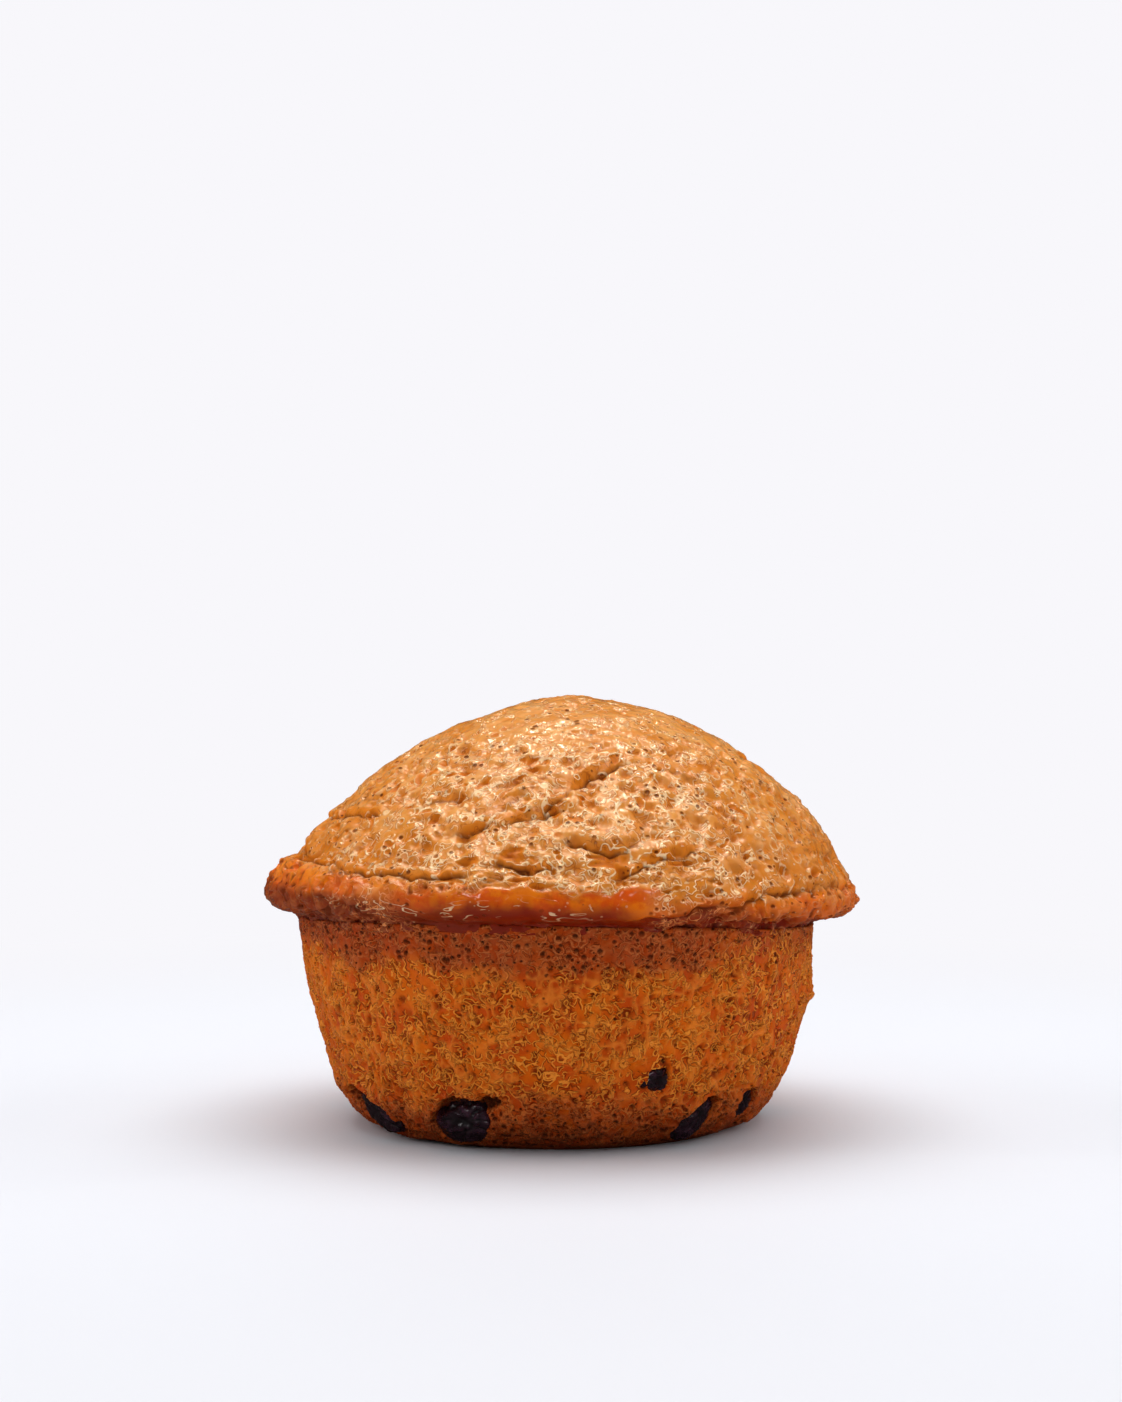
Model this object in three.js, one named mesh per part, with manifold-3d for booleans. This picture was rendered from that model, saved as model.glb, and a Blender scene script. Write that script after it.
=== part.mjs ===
// A berry muffin baked without a paper case: a tapered stump, a rim that overhangs it, and a
// domed crown, with dark berries sunk low in its sides. Millimetres, +Z up. The muffin rests on
// z = 0, its box is centred on the Z axis, and its front looks along -Y.
//
// The crust is a lathe form whose outline changes slowly round the muffin. Lumps, baked steps,
// rim folds and a few crags move its points along the surface normal, and a pocket is cut for
// each berry.

import * as THREE from "three";
import { mergeVertices } from "three/addons/utils/BufferGeometryUtils.js";
import Module from "manifold-3d";

const wasm = await Module();
wasm.setup();

// ---- driving dimensions (mm, degrees) ----------------------------------------------------

const HEIGHT = 57.3; // flat base to crown
const BASE_RADIUS = 24.2; // the flat disc it rests on
const CORNER = { radius: 27.6, height: 1.0 }; // where the rounded foot would come to a corner
const FOOT = { radius: 29.6, height: 5.0 }; // top of the rounded foot
const SHOULDER = { radius: 36.4, height: 36.2 }; // where the crown ends and the rim rolls out
const CROWN = { roundness: 1.88, fullness: 0.84 }; // exponents of the crown's arch
const CROWN_SHIFT = 1.15; // the shoulder sits this far to the right of the stump
const CROWN_LEAN = 2.25; // and the crown's top a little further

const SEGMENTS = 104; // round the muffin
const RELIEF_STARTS = 0.4; // no relief below this height, so that the base stays flat
const RELIEF_FULL = 4.0;
const STEP_EDGE = 0.9; // half the width over which a step changes from low to high

const BERRY_GAP = 0.3; // between a berry and its pocket
const BERRY_SEGMENTS = 13;
const BERRY_RINGS = 8;

/** A measure that changes smoothly round the muffin, from its values in four directions. */
function around(front, right, back, left) {
  const mean = (front + right + back + left) / 4;
  const frontToBack = (front - back) / 2;
  const rightToLeft = (right - left) / 2;
  const squareness = (front + back - right - left) / 4;
  return (azimuth) =>
    mean +
    frontToBack * Math.cos(azimuth) +
    rightToLeft * Math.sin(azimuth) +
    squareness * Math.cos(2 * azimuth);
}

const NECK = { radius: around(34.9, 34.7, 34.8, 35.0), height: around(29.4, 26.7, 28.0, 27.9) };
const RIM = { radius: around(38.1, 40.9, 39.2, 39.75), height: around(32.2, 30.4, 31.2, 31.4) };
const STUMP_BULGE = around(0, 0.5, 0.2, 0); // how far the side stands out at half height
const RIM_FLARE = around(1.2, 0.85, 1.4, 2.5); // how far the rim's upper side spreads
const RIM_DROP = around(-1.2, -1.8, -1.2, -0.8); // and how steeply it leaves the crown

// Steps in the crown, where the risen batter tore and set again: the part above stands over the
// part below. Each is a run of places [azimuth, height] that the crust's edge passes through.
const CROWN_STEPS = [
  { rise: 0.45, drop: 0.8, reach: 2.2, places: [[12.7, 48.3], [6.5, 47.4], [1.8, 45.8], [-3.2, 44.0]] },
  { rise: 0.45, drop: 0.8, reach: 2.0, places: [[-3.5, 43.1], [-8.5, 42.4], [-15, 41.6], [-19.5, 40.8]] },
  { rise: 0.3, drop: 0.6, reach: 1.6, places: [[4.2, 39.0], [10.2, 38.0], [14.2, 38.9]] },
  { rise: 0.3, drop: 0.6, reach: 1.8, places: [[12.5, 35.2], [20.8, 37.4], [27, 38.4]] },
  { rise: 0.3, drop: 0.6, reach: 1.6, places: [[-34.8, 44.0], [-27, 44.7]] },
  { rise: 0.3, drop: 0.5, reach: 1.4, places: [[-11, 36.6], [-7, 36.1], [-3.8, 36.4]] },
];

// The rim's two folds, where the crown's skin ends over the rolled rim.
const RIM_FOLDS = [
  {
    rise: 0.35,
    drop: 0.55,
    reach: 1.8,
    places: [[-165, 33.6], [-120, 35.0], [-77, 36.0], [-58, 36.0], [-46, 35.3], [-29, 34.8], [-14.8, 35.2]],
  },
  {
    rise: 0.4,
    drop: 0.8,
    reach: 1.8,
    places: [[12.2, 29.9], [27, 31.0], [41, 32.3], [49, 32.7], [80, 31.4], [120, 31.8], [150, 31.0]],
  },
];

// The steps on the far side of the crown are drawn at random in the same sizes.
const FAR_STEPS = { count: 9, seed: 41, from: 75, to: 285, lowest: 37, highest: 49 };

// Shallow furrows (depth > 0) and crust ridges (depth < 0) on the stump.
const FURROWS = [
  { depth: 0.45, reach: 2.0, places: [[-42, 25.3], [-46.2, 18.7], [-51.8, 11.8], [-54.8, 6.4]] },
  { depth: -0.5, reach: 1.3, places: [[76.5, 18.8], [66.8, 15.5], [60.8, 12.5], [56.2, 8.5]] },
  { depth: 0.7, reach: 2.2, places: [[73, 14.0], [67, 10.5], [63, 7.0]] },
  { depth: -0.45, reach: 1.2, places: [[-73.2, 6.2], [-59.2, 5.8], [-51, 5.9], [-43.5, 5.6]] },
  { depth: -0.8, reach: 0.8, places: [[82, 17.6], [82, 16.6]] },
  { depth: 0.45, reach: 2.0, places: [[140, 24.5], [146, 17.5], [143, 11.0]] },
  { depth: 0.5, reach: 1.8, places: [[212, 23.5], [205, 18.5]] },
];

// Berries, in order round the muffin: where the middle lies (azimuth, height), how far the berry
// is turned so that its right end rises, the half sizes along, across and inwards, how far the
// outermost point lies under the crust, and the half sizes of the hole it shows through.
const BERRIES = [
  { azimuth: -24, height: 4.3, tilt: 8, half: [4.4, 3.2, 3.3], sunk: 0.1, mouth: [3.9, 2.8] },
  { azimuth: -55, height: 4.1, tilt: -20, half: [5.8, 2.5, 2.8], sunk: 0.2, mouth: [5.5, 1.5] },
  { azimuth: 24, height: 9.5, tilt: 0, half: [2.9, 2.7, 2.6], sunk: 0.4, mouth: [1.3, 1.3] },
  { azimuth: 38, height: 4.2, tilt: 42, half: [3.9, 2.2, 2.8], sunk: 0.2, mouth: [3.4, 1.5] },
  { azimuth: 55, height: 5.2, tilt: 15, half: [2.7, 2.6, 2.6], sunk: 0.3, mouth: [2.0, 1.7] },
  { azimuth: 98, height: 4.0, tilt: 0, half: [4.1, 3.2, 3.3], sunk: 0.2, mouth: [3.3, 2.5] },
  { azimuth: 136, height: 8.6, tilt: 25, half: [3.4, 3.0, 3.0], sunk: 0.4, mouth: [2.4, 1.9] },
  { azimuth: 172, height: 4.0, tilt: 0, half: [4.4, 3.3, 3.4], sunk: 0.1, mouth: [3.6, 2.6] },
  { azimuth: 209, height: 12.5, tilt: 0, half: [3.0, 2.8, 2.8], sunk: 0.4, mouth: [2.0, 1.6] },
  { azimuth: 251, height: 4.1, tilt: -10, half: [3.7, 3.2, 3.2], sunk: 0.2, mouth: [2.9, 2.4] },
];

// ---- small helpers -------------------------------------------------------------------------

const radians = THREE.MathUtils.degToRad;
const { lerp, smoothstep } = THREE.MathUtils;

/** A point on a quadratic Bezier arc through a, towards b, to c. */
function arc2(a, b, c, t) {
  return lerp(lerp(a, b, t), lerp(b, c, t), t);
}

/** A point on a cubic Bezier arc from a to d. */
function arc3(a, b, c, d, t) {
  return lerp(arc2(a, b, c, t), arc2(b, c, d, t), t);
}

/** Repeatable random numbers from 0 to 1. */
function drawsFrom(seed) {
  let state = seed;
  return () => {
    state = (Math.imul(state, 1664525) + 1013904223) >>> 0;
    return state / 4294967296;
  };
}

/** A fixed random value from -1 to 1 at each point of a whole-number lattice. */
function latticeValue(i, j, k, seed) {
  let bits = Math.imul(i, 374761393) ^ Math.imul(j, 668265263);
  bits ^= Math.imul(k, 1440662683) ^ Math.imul(seed, 974634777);
  bits = Math.imul(bits ^ (bits >>> 13), 1274126177);
  bits = Math.imul(bits ^ (bits >>> 15), 1103515245);
  return ((bits ^ (bits >>> 16)) >>> 0) / 2147483648 - 1;
}

/** Smooth lumps from -1 to 1, one lump about as wide as the pitch. */
function lumps(point, pitch, seed) {
  const scaled = point.clone().divideScalar(pitch);
  const cell = scaled.clone().floor();
  const part = scaled.clone().sub(cell);
  const ease = (t) => t * t * (3 - 2 * t);
  const [u, v, w] = [ease(part.x), ease(part.y), ease(part.z)];
  const corner = (i, j, k) => latticeValue(cell.x + i, cell.y + j, cell.z + k, seed);
  const edge = (j, k) => lerp(corner(0, j, k), corner(1, j, k), u);
  return lerp(lerp(edge(0, 0), edge(1, 0), v), lerp(edge(0, 1), edge(1, 1), v), w);
}

// ---- the smooth form -----------------------------------------------------------------------

// The outline, from the middle of the base round to the crown: each stretch gives the radius,
// the height and the lean to the right at t from 0 to 1.
const STRETCHES = [
  {
    rings: 1,
    at: (azimuth, t) => ({ radius: BASE_RADIUS * t, height: 0, lean: 0 }),
  },
  {
    rings: 3,
    at: (azimuth, t) => ({
      radius: arc2(BASE_RADIUS, CORNER.radius, FOOT.radius, t),
      height: arc2(0, CORNER.height, FOOT.height, t),
      lean: 0,
    }),
  },
  {
    rings: 10,
    at: (azimuth, t) => ({
      radius:
        arc3(FOOT.radius, 31.3, 34.2, NECK.radius(azimuth), t) +
        STUMP_BULGE(azimuth) * Math.sin(Math.PI * t),
      height: arc3(FOOT.height, 9.0, 20.0, NECK.height(azimuth), t),
      lean: 0,
    }),
  },
  {
    rings: 3,
    at: (azimuth, t) => {
      const [neckRadius, neckHeight] = [NECK.radius(azimuth), NECK.height(azimuth)];
      return {
        radius: arc2(neckRadius, neckRadius + 0.35, RIM.radius(azimuth) - 1.3, t),
        height: arc2(neckHeight, neckHeight + 0.25, RIM.height(azimuth) - 2.1, t),
        lean: 0,
      };
    },
  },
  {
    rings: 2,
    at: (azimuth, t) => {
      const [rimRadius, rimHeight] = [RIM.radius(azimuth), RIM.height(azimuth)];
      return {
        radius: arc2(rimRadius - 1.3, rimRadius + 0.05, rimRadius, t),
        height: arc2(rimHeight - 2.1, rimHeight - 1.35, rimHeight, t),
        lean: 0,
      };
    },
  },
  {
    rings: 4,
    at: (azimuth, t) => {
      const shoulderRadius = SHOULDER.radius + CROWN_SHIFT * Math.sin(azimuth);
      return {
        radius: arc3(
          RIM.radius(azimuth),
          RIM.radius(azimuth) - 0.05,
          shoulderRadius + RIM_FLARE(azimuth),
          shoulderRadius,
          t,
        ),
        height: arc3(
          RIM.height(azimuth),
          RIM.height(azimuth) + 1.3,
          SHOULDER.height + RIM_DROP(azimuth),
          SHOULDER.height,
          t,
        ),
        lean: 0,
      };
    },
  },
  {
    rings: 21,
    at: (azimuth, t) => {
      const inwards = Math.cos((t * Math.PI) / 2) ** 0.9;
      const rise = (1 - inwards ** CROWN.roundness) ** CROWN.fullness;
      return {
        radius: (SHOULDER.radius + CROWN_SHIFT * Math.sin(azimuth)) * inwards,
        height: lerp(SHOULDER.height, HEIGHT, rise),
        lean: CROWN_LEAN * rise,
      };
    },
  },
];

/** The smooth form's point at an azimuth, a stretch of the outline and a t along that stretch. */
function smoothPoint(azimuth, stretch, t) {
  const { radius, height, lean } = STRETCHES[stretch].at(azimuth, t);
  return new THREE.Vector3(lean + radius * Math.sin(azimuth), -radius * Math.cos(azimuth), height);
}

/** The smooth form's outward normal there, from its change along and round the outline. */
function smoothNormal(azimuth, stretch, t) {
  const step = 1e-3;
  const [low, high] = [Math.max(t - step, 0), Math.min(t + step, 1)];
  const along = smoothPoint(azimuth, stretch, high).sub(smoothPoint(azimuth, stretch, low));
  const round = smoothPoint(azimuth + step, stretch, t).sub(smoothPoint(azimuth - step, stretch, t));
  return round.cross(along).normalize();
}

/** The point and normal of the smooth form's side at an azimuth and a height. */
function sideAt(azimuth, height) {
  let stretch = 1;
  const top = (k) => smoothPoint(azimuth, k, 1).z;
  const overhang = 3;
  while (stretch < STRETCHES.length - 1 && (top(stretch) < height || stretch === overhang)) {
    stretch += 1;
  }
  let [low, high] = [0, 1];
  for (let halving = 0; halving < 30; halving += 1) {
    const middle = (low + high) / 2;
    if (smoothPoint(azimuth, stretch, middle).z < height) {
      low = middle;
    } else {
      high = middle;
    }
  }
  return { point: smoothPoint(azimuth, stretch, low), normal: smoothNormal(azimuth, stretch, low) };
}

// ---- relief --------------------------------------------------------------------------------

/** A run of places as straight legs on the smooth form, each with the normal at its middle. */
function legsThrough(places) {
  const spots = places.map(([azimuth, height]) => sideAt(radians(azimuth), height));
  return spots.slice(1).map((spot, k) => ({
    start: spots[k].point,
    leg: spot.point.clone().sub(spots[k].point),
    normal: spot.normal.clone().add(spots[k].normal).normalize(),
  }));
}

/** How far a point lies from a run of legs, and how far of that is upwards across them. */
function offsetFrom(legs, point) {
  let nearest = { distance: Infinity, above: 0 };
  for (const { start, leg, normal } of legs) {
    const away = point.clone().sub(start);
    const along = THREE.MathUtils.clamp(away.dot(leg) / leg.lengthSq(), 0, 1);
    away.addScaledVector(leg, -along);
    if (away.length() < nearest.distance) {
      const up = normal.clone().cross(leg).normalize();
      nearest = { distance: away.length(), above: away.dot(up) * Math.sign(up.z) };
    }
  }
  return nearest;
}

/** Random steps for the far side of the crown, as gentle falling and rising runs. */
function farSteps({ count, seed, from, to, lowest, highest }) {
  const draw = drawsFrom(seed);
  return Array.from({ length: count }, (unused, k) => {
    const start = lerp(from, to, (k + 0.6 * draw()) / count);
    const height = lerp(lowest, highest, draw());
    const turn = lerp(6, 11, draw()) * (38 / (58 - height)) ** 0.5;
    const fall = lerp(-1.0, 1.0, draw());
    return {
      places: [0, 1, 2, 3].map((leg) => [start + leg * turn, height + leg * fall + 0.8 * (draw() - 0.5)]),
      rise: lerp(0.3, 0.45, draw()),
      drop: lerp(0.5, 0.8, draw()),
      reach: lerp(1.6, 2.2, draw()),
    };
  });
}

const steps = [...CROWN_STEPS, ...RIM_FOLDS, ...farSteps(FAR_STEPS)].map((step) => ({
  ...step,
  legs: legsThrough(step.places),
}));
const furrows = FURROWS.map((furrow) => ({ ...furrow, legs: legsThrough(furrow.places) }));

/** How far the crust stands out from the smooth form at a point of it. */
function relief(point) {
  let out = 0.36 * lumps(point, 8.5, 1) + 0.22 * lumps(point, 4.6, 2) + 0.1 * lumps(point, 2.7, 3);
  for (const { legs, rise, drop, reach } of steps) {
    const { distance, above } = offsetFrom(legs, point);
    if (distance < 3 * reach) {
      const share = smoothstep(above, -STEP_EDGE, STEP_EDGE);
      out += lerp(-drop, rise, share) * Math.exp(-((distance / reach) ** 2));
    }
  }
  for (const { legs, depth, reach } of furrows) {
    const { distance } = offsetFrom(legs, point);
    if (distance < 3 * reach) {
      out -= depth * Math.exp(-((distance / reach) ** 2));
    }
  }
  return out * smoothstep(point.z, RELIEF_STARTS, RELIEF_FULL);
}

// ---- solids --------------------------------------------------------------------------------

/** A closed mesh of three.js as a solid that can be cut. */
function toSolid(geometry) {
  const bare = geometry.clone();
  bare.deleteAttribute("normal");
  bare.deleteAttribute("uv");
  const merged = mergeVertices(bare, 1e-4);
  const corners = merged.index.array;
  const kept = [];
  for (let k = 0; k < corners.length; k += 3) {
    const [a, b, c] = corners.slice(k, k + 3);
    if (a !== b && b !== c && c !== a) {
      kept.push(a, b, c);
    }
  }
  const mesh = new wasm.Mesh({
    numProp: 3,
    vertProperties: new Float32Array(merged.attributes.position.array),
    triVerts: new Uint32Array(kept),
  });
  return new wasm.Manifold(mesh);
}

/** A solid back as a mesh of three.js. */
function toGeometry(solid) {
  const { vertProperties, triVerts } = solid.getMesh();
  const geometry = new THREE.BufferGeometry();
  geometry.setAttribute("position", new THREE.BufferAttribute(vertProperties, 3));
  geometry.setIndex(new THREE.BufferAttribute(triVerts, 1));
  geometry.computeVertexNormals();
  return geometry;
}

/** The uncut crust: a lathe whose points are moved to the smooth form and its relief. */
function crustGeometry() {
  const rings = [{ stretch: 0, t: 0 }];
  STRETCHES.forEach((stretch, index) => {
    for (let ring = 1; ring <= stretch.rings; ring += 1) {
      rings.push({ stretch: index, t: ring / stretch.rings });
    }
  });
  const outline = rings.map(({ stretch, t }) => {
    const { radius, height } = STRETCHES[stretch].at(0, t);
    return new THREE.Vector2(radius, height);
  });
  const geometry = new THREE.LatheGeometry(outline, SEGMENTS);
  const positions = geometry.attributes.position;
  for (let vertex = 0; vertex < positions.count; vertex += 1) {
    const { stretch, t } = rings[vertex % rings.length];
    const azimuth = ((Math.floor(vertex / rings.length) % SEGMENTS) / SEGMENTS) * 2 * Math.PI;
    const point = smoothPoint(azimuth, stretch, t);
    const isCrown = stretch === STRETCHES.length - 1 && t === 1;
    const normal = isCrown ? new THREE.Vector3(0, 0, 1) : smoothNormal(azimuth, stretch, t);
    point.addScaledVector(normal, relief(point));
    positions.setXYZ(vertex, point.x, point.y, point.z);
  }
  return geometry;
}

/** The place of a berry: its middle, with its axes turned to face out of the crust. */
function berryPlace({ azimuth, height, tilt, half, sunk }) {
  const { point } = sideAt(radians(azimuth), height);
  const outwards = new THREE.Vector3(Math.sin(radians(azimuth)), -Math.cos(radians(azimuth)), 0);
  const place = new THREE.Matrix4().makeRotationZ(radians(azimuth));
  place.multiply(new THREE.Matrix4().makeRotationY(-radians(tilt)));
  place.setPosition(point.addScaledVector(outwards, -half[2] - sunk));
  return place;
}

/** A wrinkled ball squashed to the berry's half sizes, grown all over by a margin. */
function berryGeometry({ azimuth, half }, margin) {
  const geometry = new THREE.SphereGeometry(1, BERRY_SEGMENTS, BERRY_RINGS);
  const positions = geometry.attributes.position;
  const point = new THREE.Vector3();
  for (let vertex = 0; vertex < positions.count; vertex += 1) {
    point.fromBufferAttribute(positions, vertex).normalize();
    const wrinkle = 1 + 0.05 * lumps(point.clone().multiplyScalar(2.2), 1, Math.round(azimuth) + 400);
    const [x, y, z] = [half[0] * wrinkle + margin, half[2] * wrinkle + margin, half[1] * wrinkle + margin];
    positions.setXYZ(vertex, point.x * x, point.y * y, point.z * z);
  }
  return geometry;
}

/** The space cut for a berry: its own form with a gap, and the hole that it shows through. */
function pocketSolid(berry) {
  const margin = BERRY_GAP * 1.25;
  const [across, up] = berry.mouth;
  const depth = berry.half[2] + berry.sunk + 2;
  const hole = new THREE.CylinderGeometry(1, 1, depth, 12);
  hole.scale(across, 1, up);
  hole.translate(0, -depth / 2, 0);
  const pocket = toSolid(berryGeometry(berry, margin)).add(toSolid(hole));
  return pocket.transform(berryPlace(berry).elements);
}

// ---- the muffin ----------------------------------------------------------------------------

const crust = new THREE.MeshStandardMaterial({ color: 0xc27a3c, roughness: 0.55, metalness: 0 });
const berrySkin = new THREE.MeshStandardMaterial({ color: 0x2a1420, roughness: 0.4, metalness: 0 });

const muffin = new THREE.Group();

const pockets = BERRIES.map(pocketSolid);
const cutCrust = pockets.reduce((solid, pocket) => solid.subtract(pocket), toSolid(crustGeometry()));
const body = new THREE.Mesh(toGeometry(cutCrust), crust);
body.name = "muffin";
muffin.add(body);

BERRIES.forEach((berry, index) => {
  const mesh = new THREE.Mesh(toGeometry(toSolid(berryGeometry(berry, 0))), berrySkin);
  mesh.name = `berry_${index + 1}`;
  mesh.applyMatrix4(berryPlace(berry));
  muffin.add(mesh);
});

// The crown leans, so the whole is moved until its box stands centred on the Z axis.
body.geometry.computeBoundingBox();
const middle = body.geometry.boundingBox.getCenter(new THREE.Vector3());
muffin.position.set(-middle.x, -middle.y, 0);

export default muffin;
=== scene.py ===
"""A berry muffin baked without a paper case: stump, rolled rim and domed crown, berries low down.

The crown and the stump are lathe forms that follow the outline of the solids. Their crust is
worked by moving points along the normal: lumps, baked steps, rim folds, pores and crumb. What is
finer than a quarter of a millimetre is left to the finishes.
"""

import logging
import math
from collections.abc import Iterator
from dataclasses import dataclass, field
from enum import Enum
from functools import partial, reduce

import bpy
import numpy as np
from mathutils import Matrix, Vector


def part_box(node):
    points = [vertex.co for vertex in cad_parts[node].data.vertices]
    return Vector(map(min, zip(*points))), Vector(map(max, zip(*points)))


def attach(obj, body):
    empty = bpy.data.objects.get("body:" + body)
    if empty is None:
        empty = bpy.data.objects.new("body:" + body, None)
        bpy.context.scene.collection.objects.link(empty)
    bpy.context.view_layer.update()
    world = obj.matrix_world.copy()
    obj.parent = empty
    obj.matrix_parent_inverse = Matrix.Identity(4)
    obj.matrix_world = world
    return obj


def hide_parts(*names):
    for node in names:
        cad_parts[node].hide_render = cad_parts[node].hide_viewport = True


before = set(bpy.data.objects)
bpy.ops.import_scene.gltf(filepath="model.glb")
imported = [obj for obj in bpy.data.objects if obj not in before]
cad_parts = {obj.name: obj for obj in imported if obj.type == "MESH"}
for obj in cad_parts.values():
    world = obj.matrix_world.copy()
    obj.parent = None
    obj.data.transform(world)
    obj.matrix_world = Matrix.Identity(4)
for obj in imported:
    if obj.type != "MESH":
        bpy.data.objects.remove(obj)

MM = 0.001
log = logging.getLogger("muffin")

Number = float | np.ndarray
Span = tuple[float, float]
Triple = tuple[float, float, float]


# ---- small numeric tools ---------------------------------------------------------------------

WHOLE = 2**32
DRAW_FACTOR, DRAW_STEP = 1664525, 1013904223
AXIS_FACTORS = (374761393, 668265263, 1440662683)
SEED_FACTOR = 974634777
STIR_FACTORS = ((13, 1274126177), (15, 1103515245))


def lerp(low: Number, high: Number, share: Number) -> Number:
    """Mixes two values: the low one at a share of 0, the high one at a share of 1."""
    return low + (high - low) * share


def ease(values: Number, low: Number, high: Number) -> Number:
    """A smooth step from 0 at low to 1 at high; low may be above high."""
    share = np.clip((values - low) / (high - low), 0.0, 1.0)
    return share * share * (3.0 - 2.0 * share)


def bump(values: Number, middle: float, reach: float) -> Number:
    """A soft hump of height 1 around a middle value."""
    return np.exp(-(((values - middle) / reach) ** 2))


def arc2(a: Number, b: Number, c: Number, t: Number) -> Number:
    """A point on a quadratic Bezier arc through a, towards b, to c."""
    return lerp(lerp(a, b, t), lerp(b, c, t), t)


def arc3(a: Number, b: Number, c: Number, d: Number, t: Number) -> Number:
    """A point on a cubic Bezier arc from a to d."""
    return lerp(arc2(a, b, c, t), arc2(b, c, d, t), t)


def length_along(line: np.ndarray) -> np.ndarray:
    """The distance of each point of a line from its start, along the line."""
    legs = np.linalg.norm(np.diff(line, axis=0), axis=1)
    return np.concatenate([[0.0], np.cumsum(legs)])


def draws_from(seed: int) -> Iterator[float]:
    """Repeatable random numbers from 0 to 1.

    Args:
        seed: which series.

    Yields:
        The next number.
    """
    state = seed
    while True:
        state = (state * DRAW_FACTOR + DRAW_STEP) % WHOLE
        yield state / WHOLE


def lattice_value(i: np.ndarray, j: np.ndarray, k: np.ndarray, seed: int) -> np.ndarray:
    """A fixed random value at each point of a whole-number lattice.

    Args:
        i: place of each point along the first axis, a whole number.
        j: its place along the second axis.
        k: its place along the third axis.
        seed: which lattice of random values.

    Returns:
        Array of values from -1 to 1.
    """
    axes = (axis.astype(np.int64).astype(np.uint32) for axis in (i, j, k))
    bits = np.uint32(seed * SEED_FACTOR % WHOLE)
    for axis, factor in zip(axes, AXIS_FACTORS):
        bits = bits ^ (axis * np.uint32(factor))
    for shift, factor in STIR_FACTORS:
        bits = (bits ^ (bits >> np.uint32(shift))) * np.uint32(factor)
    return (bits ^ (bits >> np.uint32(16))) / (WHOLE / 2) - 1.0


def lumps(points: np.ndarray, pitch: float, seed: int) -> np.ndarray:
    """Smooth lumps from -1 to 1, one lump about as wide as the pitch.

    Args:
        points: array of n by 3, in millimetres.
        pitch: width of a lump in millimetres.
        seed: which lattice of random values.

    Returns:
        Array of n values.
    """
    scaled = points / pitch
    cell = np.floor(scaled)
    part = scaled - cell
    u, v, w = (part * part * (3.0 - 2.0 * part)).T
    x, y, z = cell.T

    def edge(j: int, k: int) -> np.ndarray:
        """The value along one edge of the cell that runs in x."""
        ends = (lattice_value(x + step, y + j, z + k, seed) for step in (0, 1))
        return lerp(*ends, u)

    return lerp(lerp(edge(0, 0), edge(1, 0), v), lerp(edge(0, 1), edge(1, 1), v), w)


@dataclass(frozen=True)
class Lumps:
    """Smooth lumps of one size.

    Attributes:
        height: how far they rise, and how far the dips between them fall.
        pitch: width of a lump in millimetres.
        seed: which lattice of random values.
        stretch: how much shorter than the pitch they are along each axis.
    """

    height: float
    pitch: float
    seed: int
    stretch: Triple = (1.0, 1.0, 1.0)

    def at(self, points: np.ndarray) -> np.ndarray:
        """Their height at each of n points in millimetres."""
        return self.height * lumps(points * self.stretch, self.pitch, self.seed)

    def warp(self, points: np.ndarray) -> np.ndarray:
        """Points pushed aside by the lumps, for patterns that wander."""
        return points + self.at(points)[:, None]


def heights(points: np.ndarray, *layers: Lumps) -> np.ndarray:
    """The height at each of n points of several layers of lumps together."""
    return sum(layer.at(points) for layer in layers)


@dataclass(frozen=True)
class Mask:
    """Random patches in which a crust is worked, with soft borders.

    Attributes:
        pitch: distance from one patch to the next in millimetres.
        seed: which patches.
        starts: level of the lumps, from -1 to 1, at which the work begins.
        full: level at which it has its whole strength.
    """

    pitch: float
    seed: int
    starts: float
    full: float

    def at(self, points: np.ndarray) -> np.ndarray:
        """The strength of the work, from 0 to 1, at each of n points."""
        return ease(lumps(points, self.pitch, self.seed), self.starts, self.full)


@dataclass(frozen=True)
class Pores:
    """Round pores scattered through the crumb, cut where the surface meets them.

    Attributes:
        pitch: width of the cells that hold one pore each, in millimetres.
        smallest: smallest pore radius.
        largest: largest pore radius, at most half the pitch.
        share: share of cells that hold a pore.
        seed: which scatter.
        flatness: how much flatter than round the pores are.
    """

    pitch: float
    smallest: float
    largest: float
    share: float
    seed: int
    flatness: float = 1.0

    def away(self, points: np.ndarray) -> np.ndarray:
        """Distance from each point to the edge of the nearest pore, below 0 inside it.

        Args:
            points: array of n by 3, in millimetres.

        Returns:
            Array of n values in millimetres.
        """
        places = points * np.array([1.0, 1.0, self.flatness])
        low = np.floor(places / self.pitch - 0.5)
        nearest = np.full(len(places), self.pitch)
        for corner in np.ndindex(2, 2, 2):
            cell = low + np.array(corner)
            held = self._share_of(cell, 4) < self.share
            cell, chosen = cell[held], places[held]
            offset = [lattice_value(*cell.T, self.seed + axis) for axis in range(3)]
            centre = (cell + 0.5 + 0.5 * np.stack(offset, axis=1)) * self.pitch
            radius = lerp(self.smallest, self.largest, self._share_of(cell, 3))
            distance = np.linalg.norm(chosen - centre, axis=1) - radius
            nearest[held] = np.minimum(nearest[held], distance)
        return nearest

    def _share_of(self, cell: np.ndarray, series: int) -> np.ndarray:
        """A fixed random value from 0 to 1 for each cell."""
        return lattice_value(*cell.T, self.seed + series) * 0.5 + 0.5


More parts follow.
